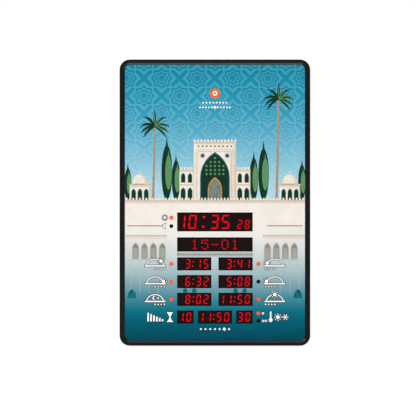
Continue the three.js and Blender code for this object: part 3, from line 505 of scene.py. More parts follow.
# %% Sizes of the frame
rim_bevel_width = 3.5 * mm
rim_bevel_drop = 1.6 * mm
rim_edge_radius = 1.2 * mm
edge_margin = 0.3 * mm
small_edge_radius = 0.22 * mm
bevel_shares = (0.1, 0.8, 0.1)
frame_wall = 2.4 * mm
ledge_width = 7 * mm
ledge_thickness = 2 * mm
corner_radius = 18 * mm
frame_low, frame_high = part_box("front_frame")
sheet_low, sheet_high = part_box("printed_sheet")
clearance = 0.3 * mm
rim_width = frame_high.x - sheet_high.x - clearance
ledge_front_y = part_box("panel_tape")[1].y
ledge_back_y = ledge_front_y + ledge_thickness
frame_depth = frame_high.y - frame_low.y

# %% The rim and its walls
frame_width, frame_height = frame_high.x - frame_low.x, frame_high.z - frame_low.z
open_plate((0, frame_low.y, 0), frame_width, frame_height, corner_radius, segments=14)
push(frame_depth)
face_outwards()
pick("edges", lambda edge: all(near(point.co.y, frame_low.y) for point in edge.verts))
bpy.ops.mesh.bevel(offset=rim_edge_radius, segments=6, profile=0.5)
pick("faces", facing_face(frame_low.y, -1))
flat_width = rim_width - rim_bevel_width - rim_edge_radius
for width in (edge_margin, flat_width - 2 * edge_margin, edge_margin):
    bpy.ops.mesh.inset(thickness=width)
for share in bevel_shares:
    bpy.ops.mesh.inset(thickness=share * rim_bevel_width, depth=-share * rim_bevel_drop)
push(ledge_front_y - (frame_low.y + rim_bevel_drop))
bpy.ops.mesh.inset(thickness=ledge_width)
bpy.ops.mesh.delete(type="FACE")
pick("faces", facing_face(frame_high.y, 1))
bpy.ops.mesh.inset(thickness=frame_wall)
push(ledge_back_y - frame_high.y)
bpy.ops.mesh.inset(thickness=rim_width + ledge_width - frame_wall)
bpy.ops.mesh.delete(type="FACE")
pick("edges", lambda edge: edge.is_boundary)
bpy.ops.mesh.bridge_edge_loops()
moulded_frame = settle("moulded_frame", slot="frame_black", replaced=("front_frame",))

# %% The power socket's hole and the screw bosses
jack_hole_radius = 4.5 * mm
boss_radius = 3.5 * mm
pilot_radius = 1.75 * mm
pilot_share = 0.7
boss_gap = 4.8 * mm
pin_middle = middle_of("dc_jack_pin")
start_fresh()
bpy.ops.mesh.primitive_cylinder_add(
    vertices=48,
    radius=jack_hole_radius,
    depth=4 * frame_wall,
    location=(pin_middle.x, pin_middle.y, frame_low.z),
)
carve(moulded_frame, bpy.context.object)
soften(moulded_frame, small_edge_radius)

screw_names = [f"cover_screw_{number}" for number in range(1, 7)]
boss_back_y = cad_high.y - boss_gap
boss_parts = []
for name in screw_names:
    spot = middle_of(name)
    start_fresh()
    bpy.ops.mesh.primitive_cylinder_add(
        vertices=24,
        radius=boss_radius,
        depth=boss_back_y - ledge_back_y,
        location=(spot.x, (boss_back_y + ledge_back_y) / 2, spot.z),
        rotation=upright,
    )
    open_mesh()
    pick("faces", facing_face(boss_back_y, 1))
    bpy.ops.mesh.inset(thickness=boss_radius - pilot_radius)
    push((ledge_back_y - boss_back_y) * pilot_share)
    boss_parts.append(close_mesh())
join(boss_parts)
screw_bosses = settle("screw_bosses", slot="frame_black")
frame_black.put_on(moulded_frame, screw_bosses)
print("frame triangles:", sum(len(face.vertices) - 2 for face in moulded_frame.data.polygons))

# %% [markdown]
# ## The printed sheet
#
# The real front is a satin sheet printed with a teal sky, a traditional lattice of
# eight-pointed stars, and a pale garden wall that sinks into deep teal below the numbers.
# The ground colour is a ramp up the clock. The lattice is arithmetic: an eight-pointed star
# is two squares, one turned by an eighth, so the smaller of two square distances draws it.

# %% The ground colours, by height
def height_share(z):
    return (z * mm - cad_low.z) / (cad_high.z - cad_low.z)


wall_top = 4.5
ground_colors = [
    (-243, (0, 62, 80)),
    (-226, (0, 76, 94)),
    (-205, (0, 92, 111)),
    (-190, (8, 106, 124)),
    (-174, (49, 125, 141)),
    (-163, (77, 138, 152)),
    (-142, (124, 163, 172)),
    (-121, (162, 188, 195)),
    (-100, (192, 207, 209)),
    (-80, (214, 218, 215)),
    (-58, (233, 231, 226)),
    (-27, (243, 234, 225)),
    (wall_top, (242, 232, 223)),
    (wall_top + 0.3, (186, 219, 227)),
    (26, (174, 213, 225)),
    (54, (151, 202, 218)),
    (82, (125, 190, 210)),
    (110, (98, 176, 201)),
    (138, (69, 163, 192)),
    (166, (42, 152, 182)),
    (200, (26, 144, 172)),
    (241, (10, 131, 157)),
]
ground_stops = [(height_share(z), paint(*color)) for z, color in ground_colors]
fade_stops = [
    (height_share(-200), (1, 1, 1, 1)),
    (height_share(-163), (0.76, 0.76, 0.76, 1)),
    (height_share(-121), (0.36, 0.36, 0.36, 1)),
    (height_share(-60), (0, 0, 0, 1)),
]


def ground(finish):
    height = finish.axes()[2]
    share = finish.stretch(height, cad_low.z, cad_high.z, 0, 1)
    share.node.interpolation_type = "LINEAR"
    return finish.ramp(share, ground_stops), finish.ramp(share, fade_stops)


def make_satin(finish):
    """The weak gloss and the fine tooth of a printed film."""
    finish.set(Roughness=0.5, Specular_IOR_Level=0.03)
    finish.relief(finish.noise(2600), 0.12, 0.01 * mm)


# %% Shapes of the star lattice
star_pitch = 62 * mm
star_bands = [(0.346, 0.026), (0.22, 0.018), (0.12, 0.014)]
crossing_share = 0.1
crossing_half_width = 0.02
soft_edge = 0.014

printed_sky = Finish("printed_sky")
across, _, up = printed_sky.axes()
calc, stretch, mix = printed_sky.calc, printed_sky.stretch, printed_sky.mix


def band(distance, middle, half_width):
    """One along a line of the lattice and nothing away from it, with a soft edge."""
    off_line = calc("ABSOLUTE", calc("SUBTRACT", distance, middle))
    return stretch(off_line, half_width, half_width + soft_edge, 1, 0)


def lattice(drop):
    """The pale bands, moved down: nested stars in each square, and bands that cross between."""
    height = calc("ADD", up, drop)
    sides = []
    for operation in ("ADD", "SUBTRACT"):
        slanted = calc(operation, across, height)
        cells = calc("DIVIDE", slanted, star_pitch)
        whole = calc("ROUND", cells)
        sides.append(calc("ABSOLUTE", calc("SUBTRACT", cells, whole)))
    upright_square = calc("MAXIMUM", *sides)
    turned_square = calc("DIVIDE", calc("ADD", *sides), math.sqrt(2))
    from_star = calc("MINIMUM", upright_square, turned_square)
    from_edge = calc("SUBTRACT", 0.5, upright_square)
    crossing = band(from_edge, crossing_share, crossing_half_width)
    outside = calc("GREATER_THAN", from_star, star_bands[0][0])
    bands = calc("MULTIPLY", crossing, outside)
    for middle, half_width in star_bands:
        bands = calc("MAXIMUM", bands, band(from_star, middle, half_width))
    return bands


# %% [markdown]
# The bands look raised because each throws a dark edge below it. The same lattice, moved
# down by a little over two millimetres and shown only where no pale band lies, draws that
# edge. Both fade towards the wall, as the sky grows pale.

# %% Join the ground and the lattice
shadow_drop = 2.3 * mm
pale_share = 0.34
shadow_share = 0.62
pale_bands = lattice(0)
no_band = calc("SUBTRACT", 1, pale_bands)
band_shadows = calc("MULTIPLY", lattice(shadow_drop), no_band)
high_up = stretch(up, 5 * mm, 235 * mm, 0, 1)
band_color = mix(high_up, paint(204, 232, 240), paint(106, 182, 206))
shadow_color = mix(high_up, paint(96, 178, 202), paint(0, 118, 140))
lattice_fade = stretch(high_up, 0, 1, 0.3, 1)
above_wall = calc("GREATER_THAN", up, (wall_top + 0.5) * mm)
lattice_strength = calc("MULTIPLY", lattice_fade, above_wall)


def amount(shape, share):
    return calc("MULTIPLY", calc("MULTIPLY", shape, share), lattice_strength)


ground_color, _ = ground(printed_sky)
shaded = mix(amount(band_shadows, shadow_share), ground_color, shadow_color)
lined = mix(amount(pale_bands, pale_share), shaded, band_color)
mottle = stretch(printed_sky.noise(45), 0.3, 0.7, 0, 0.06)
printed_sky.set(Base_Color=mix(mottle, lined, paint(30, 96, 116)))
make_satin(printed_sky)
printed_sky.put_on(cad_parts["printed_sheet"])

# %% [markdown]
# ## Inks on the sheet
#
# The picture and the marks are printed in flat inks, one over the other, as a screen printer
# lays them down. Each ink is one open mesh to which flat shapes are added: bars, discs and
# arches. It then gets a hair of thickness, and shapes that overlap are melted into one film.
# All shapes are my own: a garden gate, palms and cypresses, pavilions and an arcade.

# %% Opening and closing an ink
ink_step = 0.02 * mm
sheet_front_y = sheet_low.y


def open_ink():
    start_fresh()
    bpy.ops.mesh.primitive_plane_add(size=mm)
    open_mesh()
    bpy.ops.mesh.delete(type="VERT")


def close_ink(name, finish, step, melt=True, on_y=sheet_front_y, slot="printed_film"):
    """Turns all shapes to the front, thickens them and puts them at their place in the stack."""
    pick("faces", lambda face: face.normal.y > 0)
    bpy.ops.mesh.flip_normals()
    layer = close_mesh()
    layer.location.y = on_y - (step - 1) * ink_step
    bpy.ops.object.transform_apply(location=True, rotation=False, scale=False)
    film = layer.modifiers.new("film", "SOLIDIFY")
    film.thickness = ink_step
    film.offset = 1
    bpy.ops.object.modifier_apply(modifier=film.name)
    if melt:
        open_mesh()
        bpy.ops.mesh.intersect_boolean(operation="UNION", use_self=True, solver="EXACT")
        close_mesh()
    finish.put_on(register(layer, name, slot))
    print(name, len(layer.data.polygons), "faces")


# %% Discs, ovals, bars and stars
def disc(x, z, radius, corners=24):
    bpy.ops.mesh.primitive_circle_add(
        vertices=corners,
        radius=radius * mm,
        fill_type="NGON",
        location=(x * mm, 0, z * mm),
        rotation=upright,
    )


def oval(x, z, half_width, half_height, corners):
    disc(x, z, half_width, corners)
    bpy.ops.transform.resize(
        value=(1, 1, half_height / half_width), center_override=(x * mm, 0, z * mm)
    )


def bar(x, z, width, height, turn=0.0):
    """A rectangle round (x, z), turned by an angle."""
    middle = (x * mm, 0, z * mm)
    bpy.ops.mesh.primitive_plane_add(size=mm, location=middle, rotation=upright)
    bpy.ops.transform.resize(value=(width, 1, height), center_override=middle)
    if turn:
        bpy.ops.transform.rotate(value=turn, orient_axis="Y", center_override=middle)


def reshape(change):
    """Lets a function move the corners of the shape that was drawn last."""
    mesh = bpy.context.object.data
    shape = bmesh.from_edit_mesh(mesh)
    change([point for point in shape.verts if point.select])
    bmesh.update_edit_mesh(mesh)


def star(x, z, radius, points, depth_share):
    """A star, made from a circle by drawing in every second corner."""
    center = Vector((x * mm, 0, z * mm))

    def draw_in(corners):
        for point in corners[1::2]:
            point.co = center + (point.co - center) * depth_share

    disc(x, z, radius, 2 * points)
    reshape(draw_in)


# %% [markdown]
# A pointed arch is the doorway of every building here. Each of its sides is an arc about the
# foot of the other side, so the curve meets in a point at 60 degrees. It grows from a bar:
# the top edge is extruded upwards and narrowed, step by step, and closed at the tip.

# %% Pointed arches
half_turn = math.pi
arch_steps = 5


def keep_top_edge():
    """Of the shape that was drawn last, keeps only the highest edge selected."""
    bpy.ops.mesh.select_mode(type="EDGE")
    mesh = bpy.context.object.data
    shape = bmesh.from_edit_mesh(mesh)
    drawn = [edge for edge in shape.edges if edge.select]
    top_edge = max(drawn, key=lambda edge: edge.verts[0].co.z + edge.verts[1].co.z)
    bpy.ops.mesh.select_all(action="DESELECT")
    top_edge.select_set(True)
    bmesh.update_edit_mesh(mesh)


def arch(x, foot, width, height):
    spring = foot + height - width * math.sin(half_turn / 3)
    bar(x, (foot + spring) / 2, width, spring - foot)
    keep_top_edge()
    last_rise, last_share = 0, 1
    for number in range(1, arch_steps + 1):
        angle = number * half_turn / 3 / arch_steps
        rise = width * math.sin(angle)
        share = 2 * math.cos(angle) - 1
        bpy.ops.mesh.extrude_region_move(
            TRANSFORM_OT_translate={"value": (0, 0, (rise - last_rise) * mm)}
        )
        if number < arch_steps:
            bpy.ops.transform.resize(
                value=(share / last_share, 1, 1), center_override=(x * mm, 0, foot * mm)
            )
        last_rise, last_share = rise, share
    bpy.ops.mesh.merge(type="CENTER")


# %% Inks that fade into the deep teal below
def ink(name, color, second, grain, fades=True):
    """A printed ink of two close shades, which sinks into the ground colour lower down."""
    made = Finish(name)
    patches = made.stretch(made.noise(grain, 4.0, 0.65), 0.35, 0.65, 0, 1)
    shade = made.mix(patches, paint(*color), paint(*second))
    if fades:
        ground_color, fade = ground(made)
        shade = made.mix(fade, shade, ground_color)
    made.set(Base_Color=shade)
    make_satin(made)
    return made


stone_ink = ink("stone_ink", (241, 231, 221), (233, 221, 208), 90)
stone_shade_ink = ink("stone_shade_ink", (221, 205, 187), (211, 194, 176), 110)
trim_ink = ink("trim_ink", (208, 190, 168), (196, 176, 152), 140)
clay_ink = ink("clay_ink", (196, 158, 128), (184, 142, 110), 140)
shadow_ink = ink("shadow_ink", (130, 136, 130), (104, 112, 108), 260)
leaf_ink = ink("leaf_ink", (26, 60, 46), (16, 42, 34), 420)
sunlit_leaf_ink = ink("sunlit_leaf_ink", (104, 154, 98), (80, 132, 84), 420)
bark_ink = ink("bark_ink", (186, 160, 132), (150, 122, 98), 500)
tile_ink = ink("tile_ink", (44, 112, 112), (30, 92, 98), 200)
gold_ink = ink("gold_ink", (208, 160, 74), (170, 120, 50), 240)
white_ink = ink("white_ink", (252, 252, 250), (246, 246, 244), 90, fades=False)
outline_ink = ink("outline_ink", (44, 48, 52), (36, 40, 44), 90, fades=False)
orange_ink = ink("orange_ink", (246, 112, 22), (238, 100, 14), 90, fades=False)

# %% [markdown]
# ## The garden picture
#
# Flat layers make the picture deep. Palms and cypresses stand behind the wall, the gate with
# its two wings rises between them, and an arcade runs along the wall beside the numbers.

# %% Cypresses
cypress_places = [
    (-152, 56, 6.2), (-84, 96, 9.4), (-68, 70, 7.4), (68, 74, 7.6), (85, 90, 9.2), (152, 62, 6.6),
]
tip_share = 0.16
sunlit_share = 0.62
sunlit_aside = 0.32


def cypress(x, height, half_width, drawn_in=1.0, aside=0.0):
    """A tall oval whose highest corner is pulled up to a tip."""

    def pull_up_tip(corners):
        tip = max(corners, key=lambda point: point.co.z)
        tip.co.z += tip_share * height * drawn_in * mm

    half_height = height / 2 * drawn_in
    oval(x + aside, wall_top + height / 2, half_width * drawn_in, half_height, 28)
    reshape(pull_up_tip)


open_ink()
for x, height, half_width in cypress_places:
    cypress(x, height, half_width)
close_ink("cypress_print", leaf_ink, 1)
open_ink()
for x, height, half_width in cypress_places:
    cypress(x, height, half_width, sunlit_share, sunlit_aside * half_width)
close_ink("sunlit_cypress_print", sunlit_leaf_ink, 2)

# %% [markdown]
# A date palm has a slim ringed trunk and a crown of long leaves that arch and droop. Each
# leaf is a chain of short bars that overlap. Every next bar points further down, and the
# chain is widest in its middle.

# %% Palms
palm_places = [(-108, 128), (108, 176)]
trunk_pieces = 12
trunk_lean = 3
scale_width, neck_width = 4.6, 3.6
trunk_taper = 1.6
frond_angles = [-20, 8, 34, 62, 90, 118, 146, 172, 200]
frond_length = 27
frond_steps = 6
bend_share = 0.16
fall_share = 0.09


def frond(x, z, degrees, length, half_width):
    """A leaf that leaves the crown at an angle and droops more with every step."""
    angle = math.radians(degrees)
    piece = length / frond_steps
    spots = [Vector((x, 0, z))]
    for number in range(frond_steps):
        bend = abs(bend_share * number * math.cos(angle))
        step = Vector((math.cos(angle), 0, math.sin(angle) - bend - fall_share * number))
        spots.append(spots[-1] + step.normalized() * piece)
    for number, (start, end) in enumerate(zip(spots, spots[1:])):
        share = (number + 0.5) / frond_steps
        width = 2 * half_width * (1 - (2 * share - 0.9) ** 2 / 1.3)
        way = end - start
        middle = (start + end) / 2
        turn = math.atan2(way.z, way.x)
        bar(middle.x, middle.z, piece * 1.3, max(width, 0.8), turn)


open_ink()
for x, height in palm_places:
    for number in range(trunk_pieces):
        share = number / trunk_pieces
        spot = (x + trunk_lean * math.sin(1.4 * share), wall_top + (share + 1 / 24) * height)
        bar(*spot, scale_width - trunk_taper * share, height / trunk_pieces - 0.7)
        bar(*spot, neck_width - trunk_taper * share, height / trunk_pieces)
close_ink("palm_trunk_print", bark_ink, 1)
open_ink()
for x, height in palm_places:
    crown_x, crown_z = x + trunk_lean, wall_top + height
    for degrees in frond_angles:
        frond(crown_x, crown_z, degrees, frond_length, 2.3)
close_ink("palm_crown_print", leaf_ink, 2)
open_ink()
for x, height in palm_places:
    crown_x, crown_z = x + trunk_lean, wall_top + height
    for degrees in frond_angles[:5]:
        frond(crown_x + 0.8, crown_z + 0.8, degrees + 4, 0.9 * frond_length, 0.8)
close_ink("sunlit_palm_print", sunlit_leaf_ink, 3)

# %% [markdown]
# The gate is a tall block with one deep pointed niche, between two lower wings with two rows
# of small arches. A small domed pavilion stands at each side of the garden.

# %% Walls of the gate, its wings and the pavilions
gate_half_width, gate_top = 37, 106
wing_half_width, wing_top = 62, 58
wing_middle = (gate_half_width + wing_half_width) / 2
wing_width = wing_half_width - gate_half_width
pavilion_places = [-131, 131]
pavilion_width, pavilion_top = 36, 32
dome_middle = pavilion_top + 3
dome_half_width, dome_half_height = 13, 15
tooth_pitch, tooth_width, tooth_height = 5.9, 3.4, 4.4


def post(x, foot, top, width):
    """An upright bar from its foot to its top."""
    bar(x, (top + foot) / 2, width, top - foot)


open_ink()
post(0, wall_top, gate_top, 2 * gate_half_width)
post(0, wall_top, wing_top, 2 * wing_half_width)
for x in pavilion_places:
    post(x, wall_top, pavilion_top, pavilion_width)
    oval(x, dome_middle, dome_half_width, dome_half_height, 36)
    bar(x, pavilion_top + 19, 1.2, 8)
for number in range(-6, 7):
    bar(number * tooth_pitch, gate_top + 2, tooth_width, tooth_height)
for side in (-1, 1):
    for number in range(4):
        x = side * (gate_half_width + 4 + number * tooth_pitch)
        bar(x, wing_top + 2, tooth_width, tooth_height)
close_ink("gate_print", stone_ink, 3)

# %% Shade on the stone
print_width = 314
panel_drop = 16
upper_row = 35
arcade_middle, arcade_width = 120, 73


def dome(x, half_width, half_height):
    """An oval that is flat below: its lower corners are lifted to the pavilion's top."""

    def flatten(corners):
        for point in corners:
            point.co.z = max(point.co.z, pavilion_top * mm)

    oval(x, dome_middle, half_width, half_height, 36)
    reshape(flatten)


open_ink()
for x in pavilion_places:
    dome(x, dome_half_width, dome_half_height)
    bar(x, pavilion_top - 1.9, pavilion_width, 2.4)
    post(x + 16.4, wall_top, pavilion_top, 3.2)
post(0, wall_top, gate_top - panel_drop, 62)
post(gate_half_width - 1.6, wall_top, gate_top, 3.2)
bar(0, gate_top - 2.7, 2 * gate_half_width, 2.2)
for side in (-1, 1):
    bar(side * wing_middle, wing_top - 2.8, wing_width, 2.6)
    bar(side * wing_middle, upper_row - 4.4, wing_width, 2)
post(wing_half_width - 1.2, wall_top, wing_top, 2.4)
bar(0, wall_top - 2.6, print_width, 2.6)
for side in (-1, 1):
    bar(side * arcade_middle, -59, arcade_width, 2.6)
close_ink("stone_shade_print", stone_shade_ink, 4)

# %% Light on the gate's recessed panel and on the domes
open_ink()
post(-1.4, wall_top + 1, gate_top - panel_drop - 2, 57)
for x in pavilion_places:
    dome(x - 2, dome_half_width - 2.4, dome_half_height - 1.2)
close_ink("gate_panel_print", stone_ink, 5)

# %% Trims of the buildings and of the wall
gate_trim = gate_top - 14
open_ink()
bar(0, gate_top - 1, 2 * gate_half_width + 2, 1.3)
bar(0, gate_trim, 2 * gate_half_width - 8, 0.9)
for side in (-1, 1):
    post(side * (gate_half_width - 4), wall_top, gate_trim, 0.9)
    post(side * gate_half_width, wall_top, wing_top, 1)
    bar(side * wing_middle, wing_top - 1, wing_width, 1.2)
    bar(side * wing_middle, upper_row - 3, wing_width, 0.8)
for x in pavilion_places:
    bar(x, pavilion_top, pavilion_width + 3, 1.6)
    bar(x, pavilion_top - 4, pavilion_width, 0.7)
bar(0, wall_top - 0.6, print_width, 1.2)
bar(0, wall_top - 5, print_width, 0.7)
for side in (-1, 1):
    for level, height in ((-57, 1.2), (-62, 0.7), (-100, 1)):
        bar(side * arcade_middle, level, arcade_width, height)
    for x in (99.6, 115.2, 130.8, 146.4):
        bar(side * x, -129, 1.4, 58)
close_ink("trim_print", trim_ink, 5)

# %% The clay string course
open_ink()
for side in (-1, 1):
    bar(side * 122, -40.5, 62, 2.2)
close_ink("string_course_print", clay_ink, 5)

# %% Niches, from the shallowest to the deepest
door_width, door_height = 25, 40


def all_arches(margin):
    """Every niche and window of the buildings, drawn smaller by a margin."""
    arch(0, wall_top, 52 - 2 * margin, 84 - 1.6 * margin)
    for side in (-1, 1):
        for x in (43.5, 55.5):
            arch(side * x, wall_top, 8.6 - margin, 22 - margin)
            arch(side * x, upper_row, 7.6 - margin, 17 - margin)
    for x in pavilion_places:
        for aside in (-11, 0, 11):
            arch(x + aside, wall_top, 8 - margin, 20 - margin)


open_ink()
all_arches(0)
close_ink("niche_print", tile_ink, 6)
open_ink()
all_arches(1.8)
close_ink("niche_depth_print", leaf_ink, 7)
open_ink()
for level in range(5):
    for number in range(-2, 3):
        if abs(number) + level <= 4:
            star(number * 7.4, 50 + level * 7, 2.5, 8, 0.6)
for number in range(-4, 5):
    star(number * 7.2, gate_top - 7.5, 2.3, 8, 0.6)
close_ink("tile_star_print", sunlit_leaf_ink, 8)
open_ink()
for side in (-1, 1):
    star(side * 21.5, gate_top - 24, 4.6, 8, 0.66)
close_ink("corner_star_print", tile_ink, 8)
open_ink()
arch(0, wall_top, door_width, door_height)
close_ink("door_frame_print", gold_ink, 9)
open_ink()
arch(0, wall_top, door_width - 4, door_height - 3.5)
close_ink("door_print", shadow_ink, 10)

# %% Merlons along the wall
merlon_pitch = 5.7
open_ink()
for number in range(-27, 28):
    bar(number * merlon_pitch, wall_top + 1.3, 3.3, 3.2)
    bar(number * merlon_pitch, wall_top + 3.3, 1.7, 1.6)
close_ink("merlon_print", stone_ink, 11)

# %% [markdown]
# The arcade beside the numbers is a row of narrow windows with pierced screens. A screen is
# a grid of small holes: pale six-sided dots on the dark opening.

# %% The arcade
arcade_foot = -99
arcade_places = [91.8, 107.4, 123, 138.6]
screen_pitch = 3
screen_dot = 0.78
arcade_sides = [side * x for side in (-1, 1) for x in arcade_places]
open_ink()
for x in arcade_sides:
    arch(x, arcade_foot, 12.6, 30)
close_ink("arcade_print", trim_ink, 1)
open_ink()
for x in arcade_sides:
    arch(x, arcade_foot, 10.4, 27.4)
bar(0, -90.5, 132, 6.4)
close_ink("arcade_depth_print", shadow_ink, 2)
open_ink()
for x in arcade_sides:
    for row in range(7):
        for column in (-1.5, -0.5, 0.5, 1.5) if row % 2 else (-1, 0, 1):
            if abs(column) * screen_pitch <= 4.2 - 0.5 * max(row - 4, 0):
                disc(x + column * screen_pitch, arcade_foot + 2 + row * 2.8, screen_dot, 6)
for row in range(2):
    for column in range(-21, 22):
        disc((column + 0.5 * row) * screen_pitch, -92 + row * 2.8, screen_dot, 6)
close_ink("screen_print", stone_ink, 3, melt=False)

# %% Low niches in the deep teal
niche_foot = -167
deep_ink = ink("deep_ink", (22, 108, 118), (14, 96, 108), 200, fades=False)
open_ink()
for x in (-145, 145):
    arch(x, niche_foot, 15, 16)
for x in (-52, -36, 36, 52):
    bar(x, -155.5, 7.8, 4)
    disc(x, -153.5, 3.9, 20)
close_ink("low_niche_print", deep_ink, 5)

# %% [markdown]
# ## Marks beside the windows
#
# Each window has a mark that says what it shows, without words. The five prayers and sunrise
# are told by where the sun stands on its path. Every mark is printed twice: a dark ink a
# little larger, then white ink on it, so it reads on the pale wall and on the deep teal.

# %% Suns, moons and their paths
outline_width = 0.95
path_half_width = 14.5
path_height = 12
path_steps = 14
path_gap = 0.36
sun_radius = 3.1
ray_reach = 1.72
fold_share = 0.35


def sun(x, z, radius, grow):
    disc(x, z, radius + grow, 20)
    for number in range(8):
        angle = number * half_turn / 4
        reach = radius * ray_reach
        disc(x + reach * math.cos(angle), z + reach * math.sin(angle), 0.3 * radius + grow, 8)


def moon(x, z, radius, grow):
    """A disc whose right side is folded far to the left, which leaves a crescent."""
    fold_x = (x + fold_share * radius + grow) * mm

    def fold(corners):
        for point in corners:
            if point.co.x > fold_x:
                point.co.x = fold_x - (point.co.x - fold_x) * 1.15

    disc(x, z, radius + grow, 28)
    reshape(fold)


def arc_spot(x, foot, angle):
    """A place on the sun's path, an arc that stands on the horizon."""
    return Vector((x + path_half_width * math.cos(angle), 0, foot + path_height * math.sin(angle)))


def sun_path(x, foot, sun_turn, grow):
    """A horizon, the sun's path over it, and the sun at its place on the path."""
    bar(x, foot, 2 * path_half_width + 7 + 2 * grow, 2.3 + 2 * grow)
    for number in range(path_steps):
        angles = (number * half_turn / path_steps, (number + 1) * half_turn / path_steps)
        middle_turn = sum(angles) / 2
        if sun_turn is not None and abs(middle_turn - sun_turn) < path_gap:
            continue
        start, end = (arc_spot(x, foot, angle) for angle in angles)
        spot, way = (start + end) / 2, end - start
        bar(spot.x, spot.z, way.length + 0.4 + 2 * grow, 1.7 + 2 * grow, math.atan2(way.z, way.x))
    if sun_turn is None:
        moon(x - 1, foot + 6, 3.7, grow)
        star(x + 5.4, foot + 5.8, 2.2 + 1.3 * grow, 4, 0.5)
    else:
        spot = arc_spot(x, foot, sun_turn)
        sun(spot.x, max(spot.z, foot + 1 + sun_radius), sun_radius, grow)


def diamonds(x, z, count, pitch, radius, grow, large=None):
    for number in range(count):
        size = radius * (1.6 if number == large else 1)
        disc(x + (number - (count - 1) / 2) * pitch, z, size + 1.3 * grow, 4)


# %% Hourglass, bars, thermometer and snowflake
def hourglass(x, z, grow):
    def pinch(corners):
        for point in corners:
            if abs(point.co.z - z * mm) < 2 * mm:
                point.co.x = x * mm + (point.co.x - x * mm) * (0.2 + 0.2 * grow)

    for way in (-1, 1):
        bar(x, z + way * 7.6, 10.5 + 2 * grow, 1.8 + 2 * grow)
        bar(x, z + way * 3.6, 7.6 + 2 * grow, 7)
        reshape(pinch)


def waiting_bars(x, z, count, grow):
    """Bars that shrink towards the window, for the minutes that run down."""
    for number in range(count):
        height = 15 - 2.2 * number
        bar(x + number * 5, z - 7.5 + height / 2, 3 + 2 * grow, height + 2 * grow)


def thermometer(x, z, grow):
    bar(x, z + 2, 3 + 2 * grow, 13 + 2 * grow)
    disc(x, z + 8.5, 1.5 + grow, 14)
    disc(x, z - 5, 3.4 + grow, 20)


def snowflake(x, z, radius, grow):
    for number in range(3):
        bar(x, z, 2 * (radius + grow), 1.2 + 2 * grow, number * half_turn / 3)
    disc(x, z, 1.6 + grow, 6)


# %% Places of the marks
prayer_suns = {
    "fajr": math.radians(156),
    "sunrise": math.radians(180),
    "dhuhr": math.radians(90),
    "asr": math.radians(45),
    "maghrib": 0.0,
    "isha": None,
}
path_offset = 28.5
path_foot_drop = 3.6
jumuah_low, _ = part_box("jumuah_display")


def in_mm(node):
    return middle_of(node) / mm


def draw_marks(grow):
    for name, turn in prayer_suns.items():
        spot = in_mm(name + "_lamp")
        side = math.copysign(1, spot.x)
        x = spot.x + side * path_offset
        sun_path(x, spot.z - path_foot_drop, turn, grow)
        diamonds(x - side * 8, spot.z - 8.8, 4, 5.4, 1.6, grow)
    am, pm = in_mm("am_lamp"), in_mm("pm_lamp")
    sun(am.x - 11.5, am.z, 2.5, grow)
    moon(pm.x - 10.5, pm.z, 4.2, grow)
    minutes = in_mm("iqamah_display")
    hourglass(am.x - 2.5, minutes.z, grow)
    waiting_bars(am.x - 40.5, minutes.z, 6, grow)
    warmth = in_mm("temperature_display")
    celsius, fahrenheit = in_mm("celsius_lamp"), in_mm("fahrenheit_lamp")
    for spot, count in ((celsius, 1), (fahrenheit, 2)):
        for number in range(count):
            disc(spot.x + 8 + 5 * number, spot.z, 2.1 + grow, 16)
    thermometer(celsius.x + 21.5, warmth.z, grow)
    sun(celsius.x + 34, warmth.z, 3.2, grow)
    snowflake(celsius.x + 47, warmth.z, 5.4, grow)
    diamonds(0, jumuah_low.z / mm - 8.5, 7, 8.2, 2.1, grow, large=5)


# %% Print the marks twice
open_ink()
draw_marks(outline_width)
close_ink("mark_outline_print", outline_ink, 6)
open_ink()
draw_marks(0)
close_ink("mark_print", white_ink, 7)
open_ink()
celsius = in_mm("celsius_lamp")
for node, count in (("celsius_lamp", 1), ("fahrenheit_lamp", 2)):
    for number in range(count):
        disc(celsius.x + 8 + 5 * number, in_mm(node).z, 1, 16)
for level in (0, 3, 6):
    bar(celsius.x + 22, in_mm("temperature_display").z + level, 1.9, 0.8)
close_ink("mark_detail_print", outline_ink, 8)

# %% The ornament at the top
ornament_z = 191
open_ink()
star(0, ornament_z, 10.5, 8, 0.72)
close_ink("ornament_print", orange_ink, 1)
open_ink()
star(0, ornament_z, 5, 8, 0.72)
diamonds(0, ornament_z - 16.5, 8, 5.8, 2, 0)
diamonds(0, ornament_z - 24.5, 11, 5.2, 1.9, 0, large=5)
close_ink("ornament_detail_print", white_ink, 2)
open_ink()
star(0, ornament_z, 2.4, 8, 0.72)
close_ink("ornament_heart_print", orange_ink, 3)

# %% [markdown]
# ## Displays
#
# A seven-segment display is a dark block whose bars light up. The measured model has the
# block with its lit bars raised by a hair, so one finish can tell them apart by depth: what
# stands proud of the face glows. The light of a real bar is brightest along its middle and
# falls off towards its edges. A copy of each block therefore gets crowned bars: the front of
# each bar is inset and raised a little more, and the glow grows over that slope.

# %% Display finishes
display_low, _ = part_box("clock_display")
segment_height = 0.4 * mm
display_face_y = display_low.y + segment_height
crown = 0.06 * mm
big_slope = 0.68 * mm
small_slope = 0.6 * mm


def display_finish(name, lit_color, strength, edge_glow=0.04):
    made = Finish(name)
    depth = made.axes()[1]
    lit = made.calc("LESS_THAN", depth, display_face_y - 0.05 * mm)
    grain = made.noise(1400)
    face = made.mix(grain, paint(22, 13, 13), paint(27, 16, 16))
    core = made.stretch(depth, display_low.y - crown, display_low.y, 1, edge_glow)
    glow = made.mix(core, (0, 0, 0, 1), lit_color)
    made.set(
        Base_Color=made.mix(lit, face, paint(30, 0, 2)),
        Emission_Color=made.mix(lit, (0, 0, 0, 1), glow),
        Emission_Strength=strength,
        Roughness=0.5,
        Specular_IOR_Level=0.03,
    )
    made.relief(grain, 0.2, 0.01 * mm)
    return made


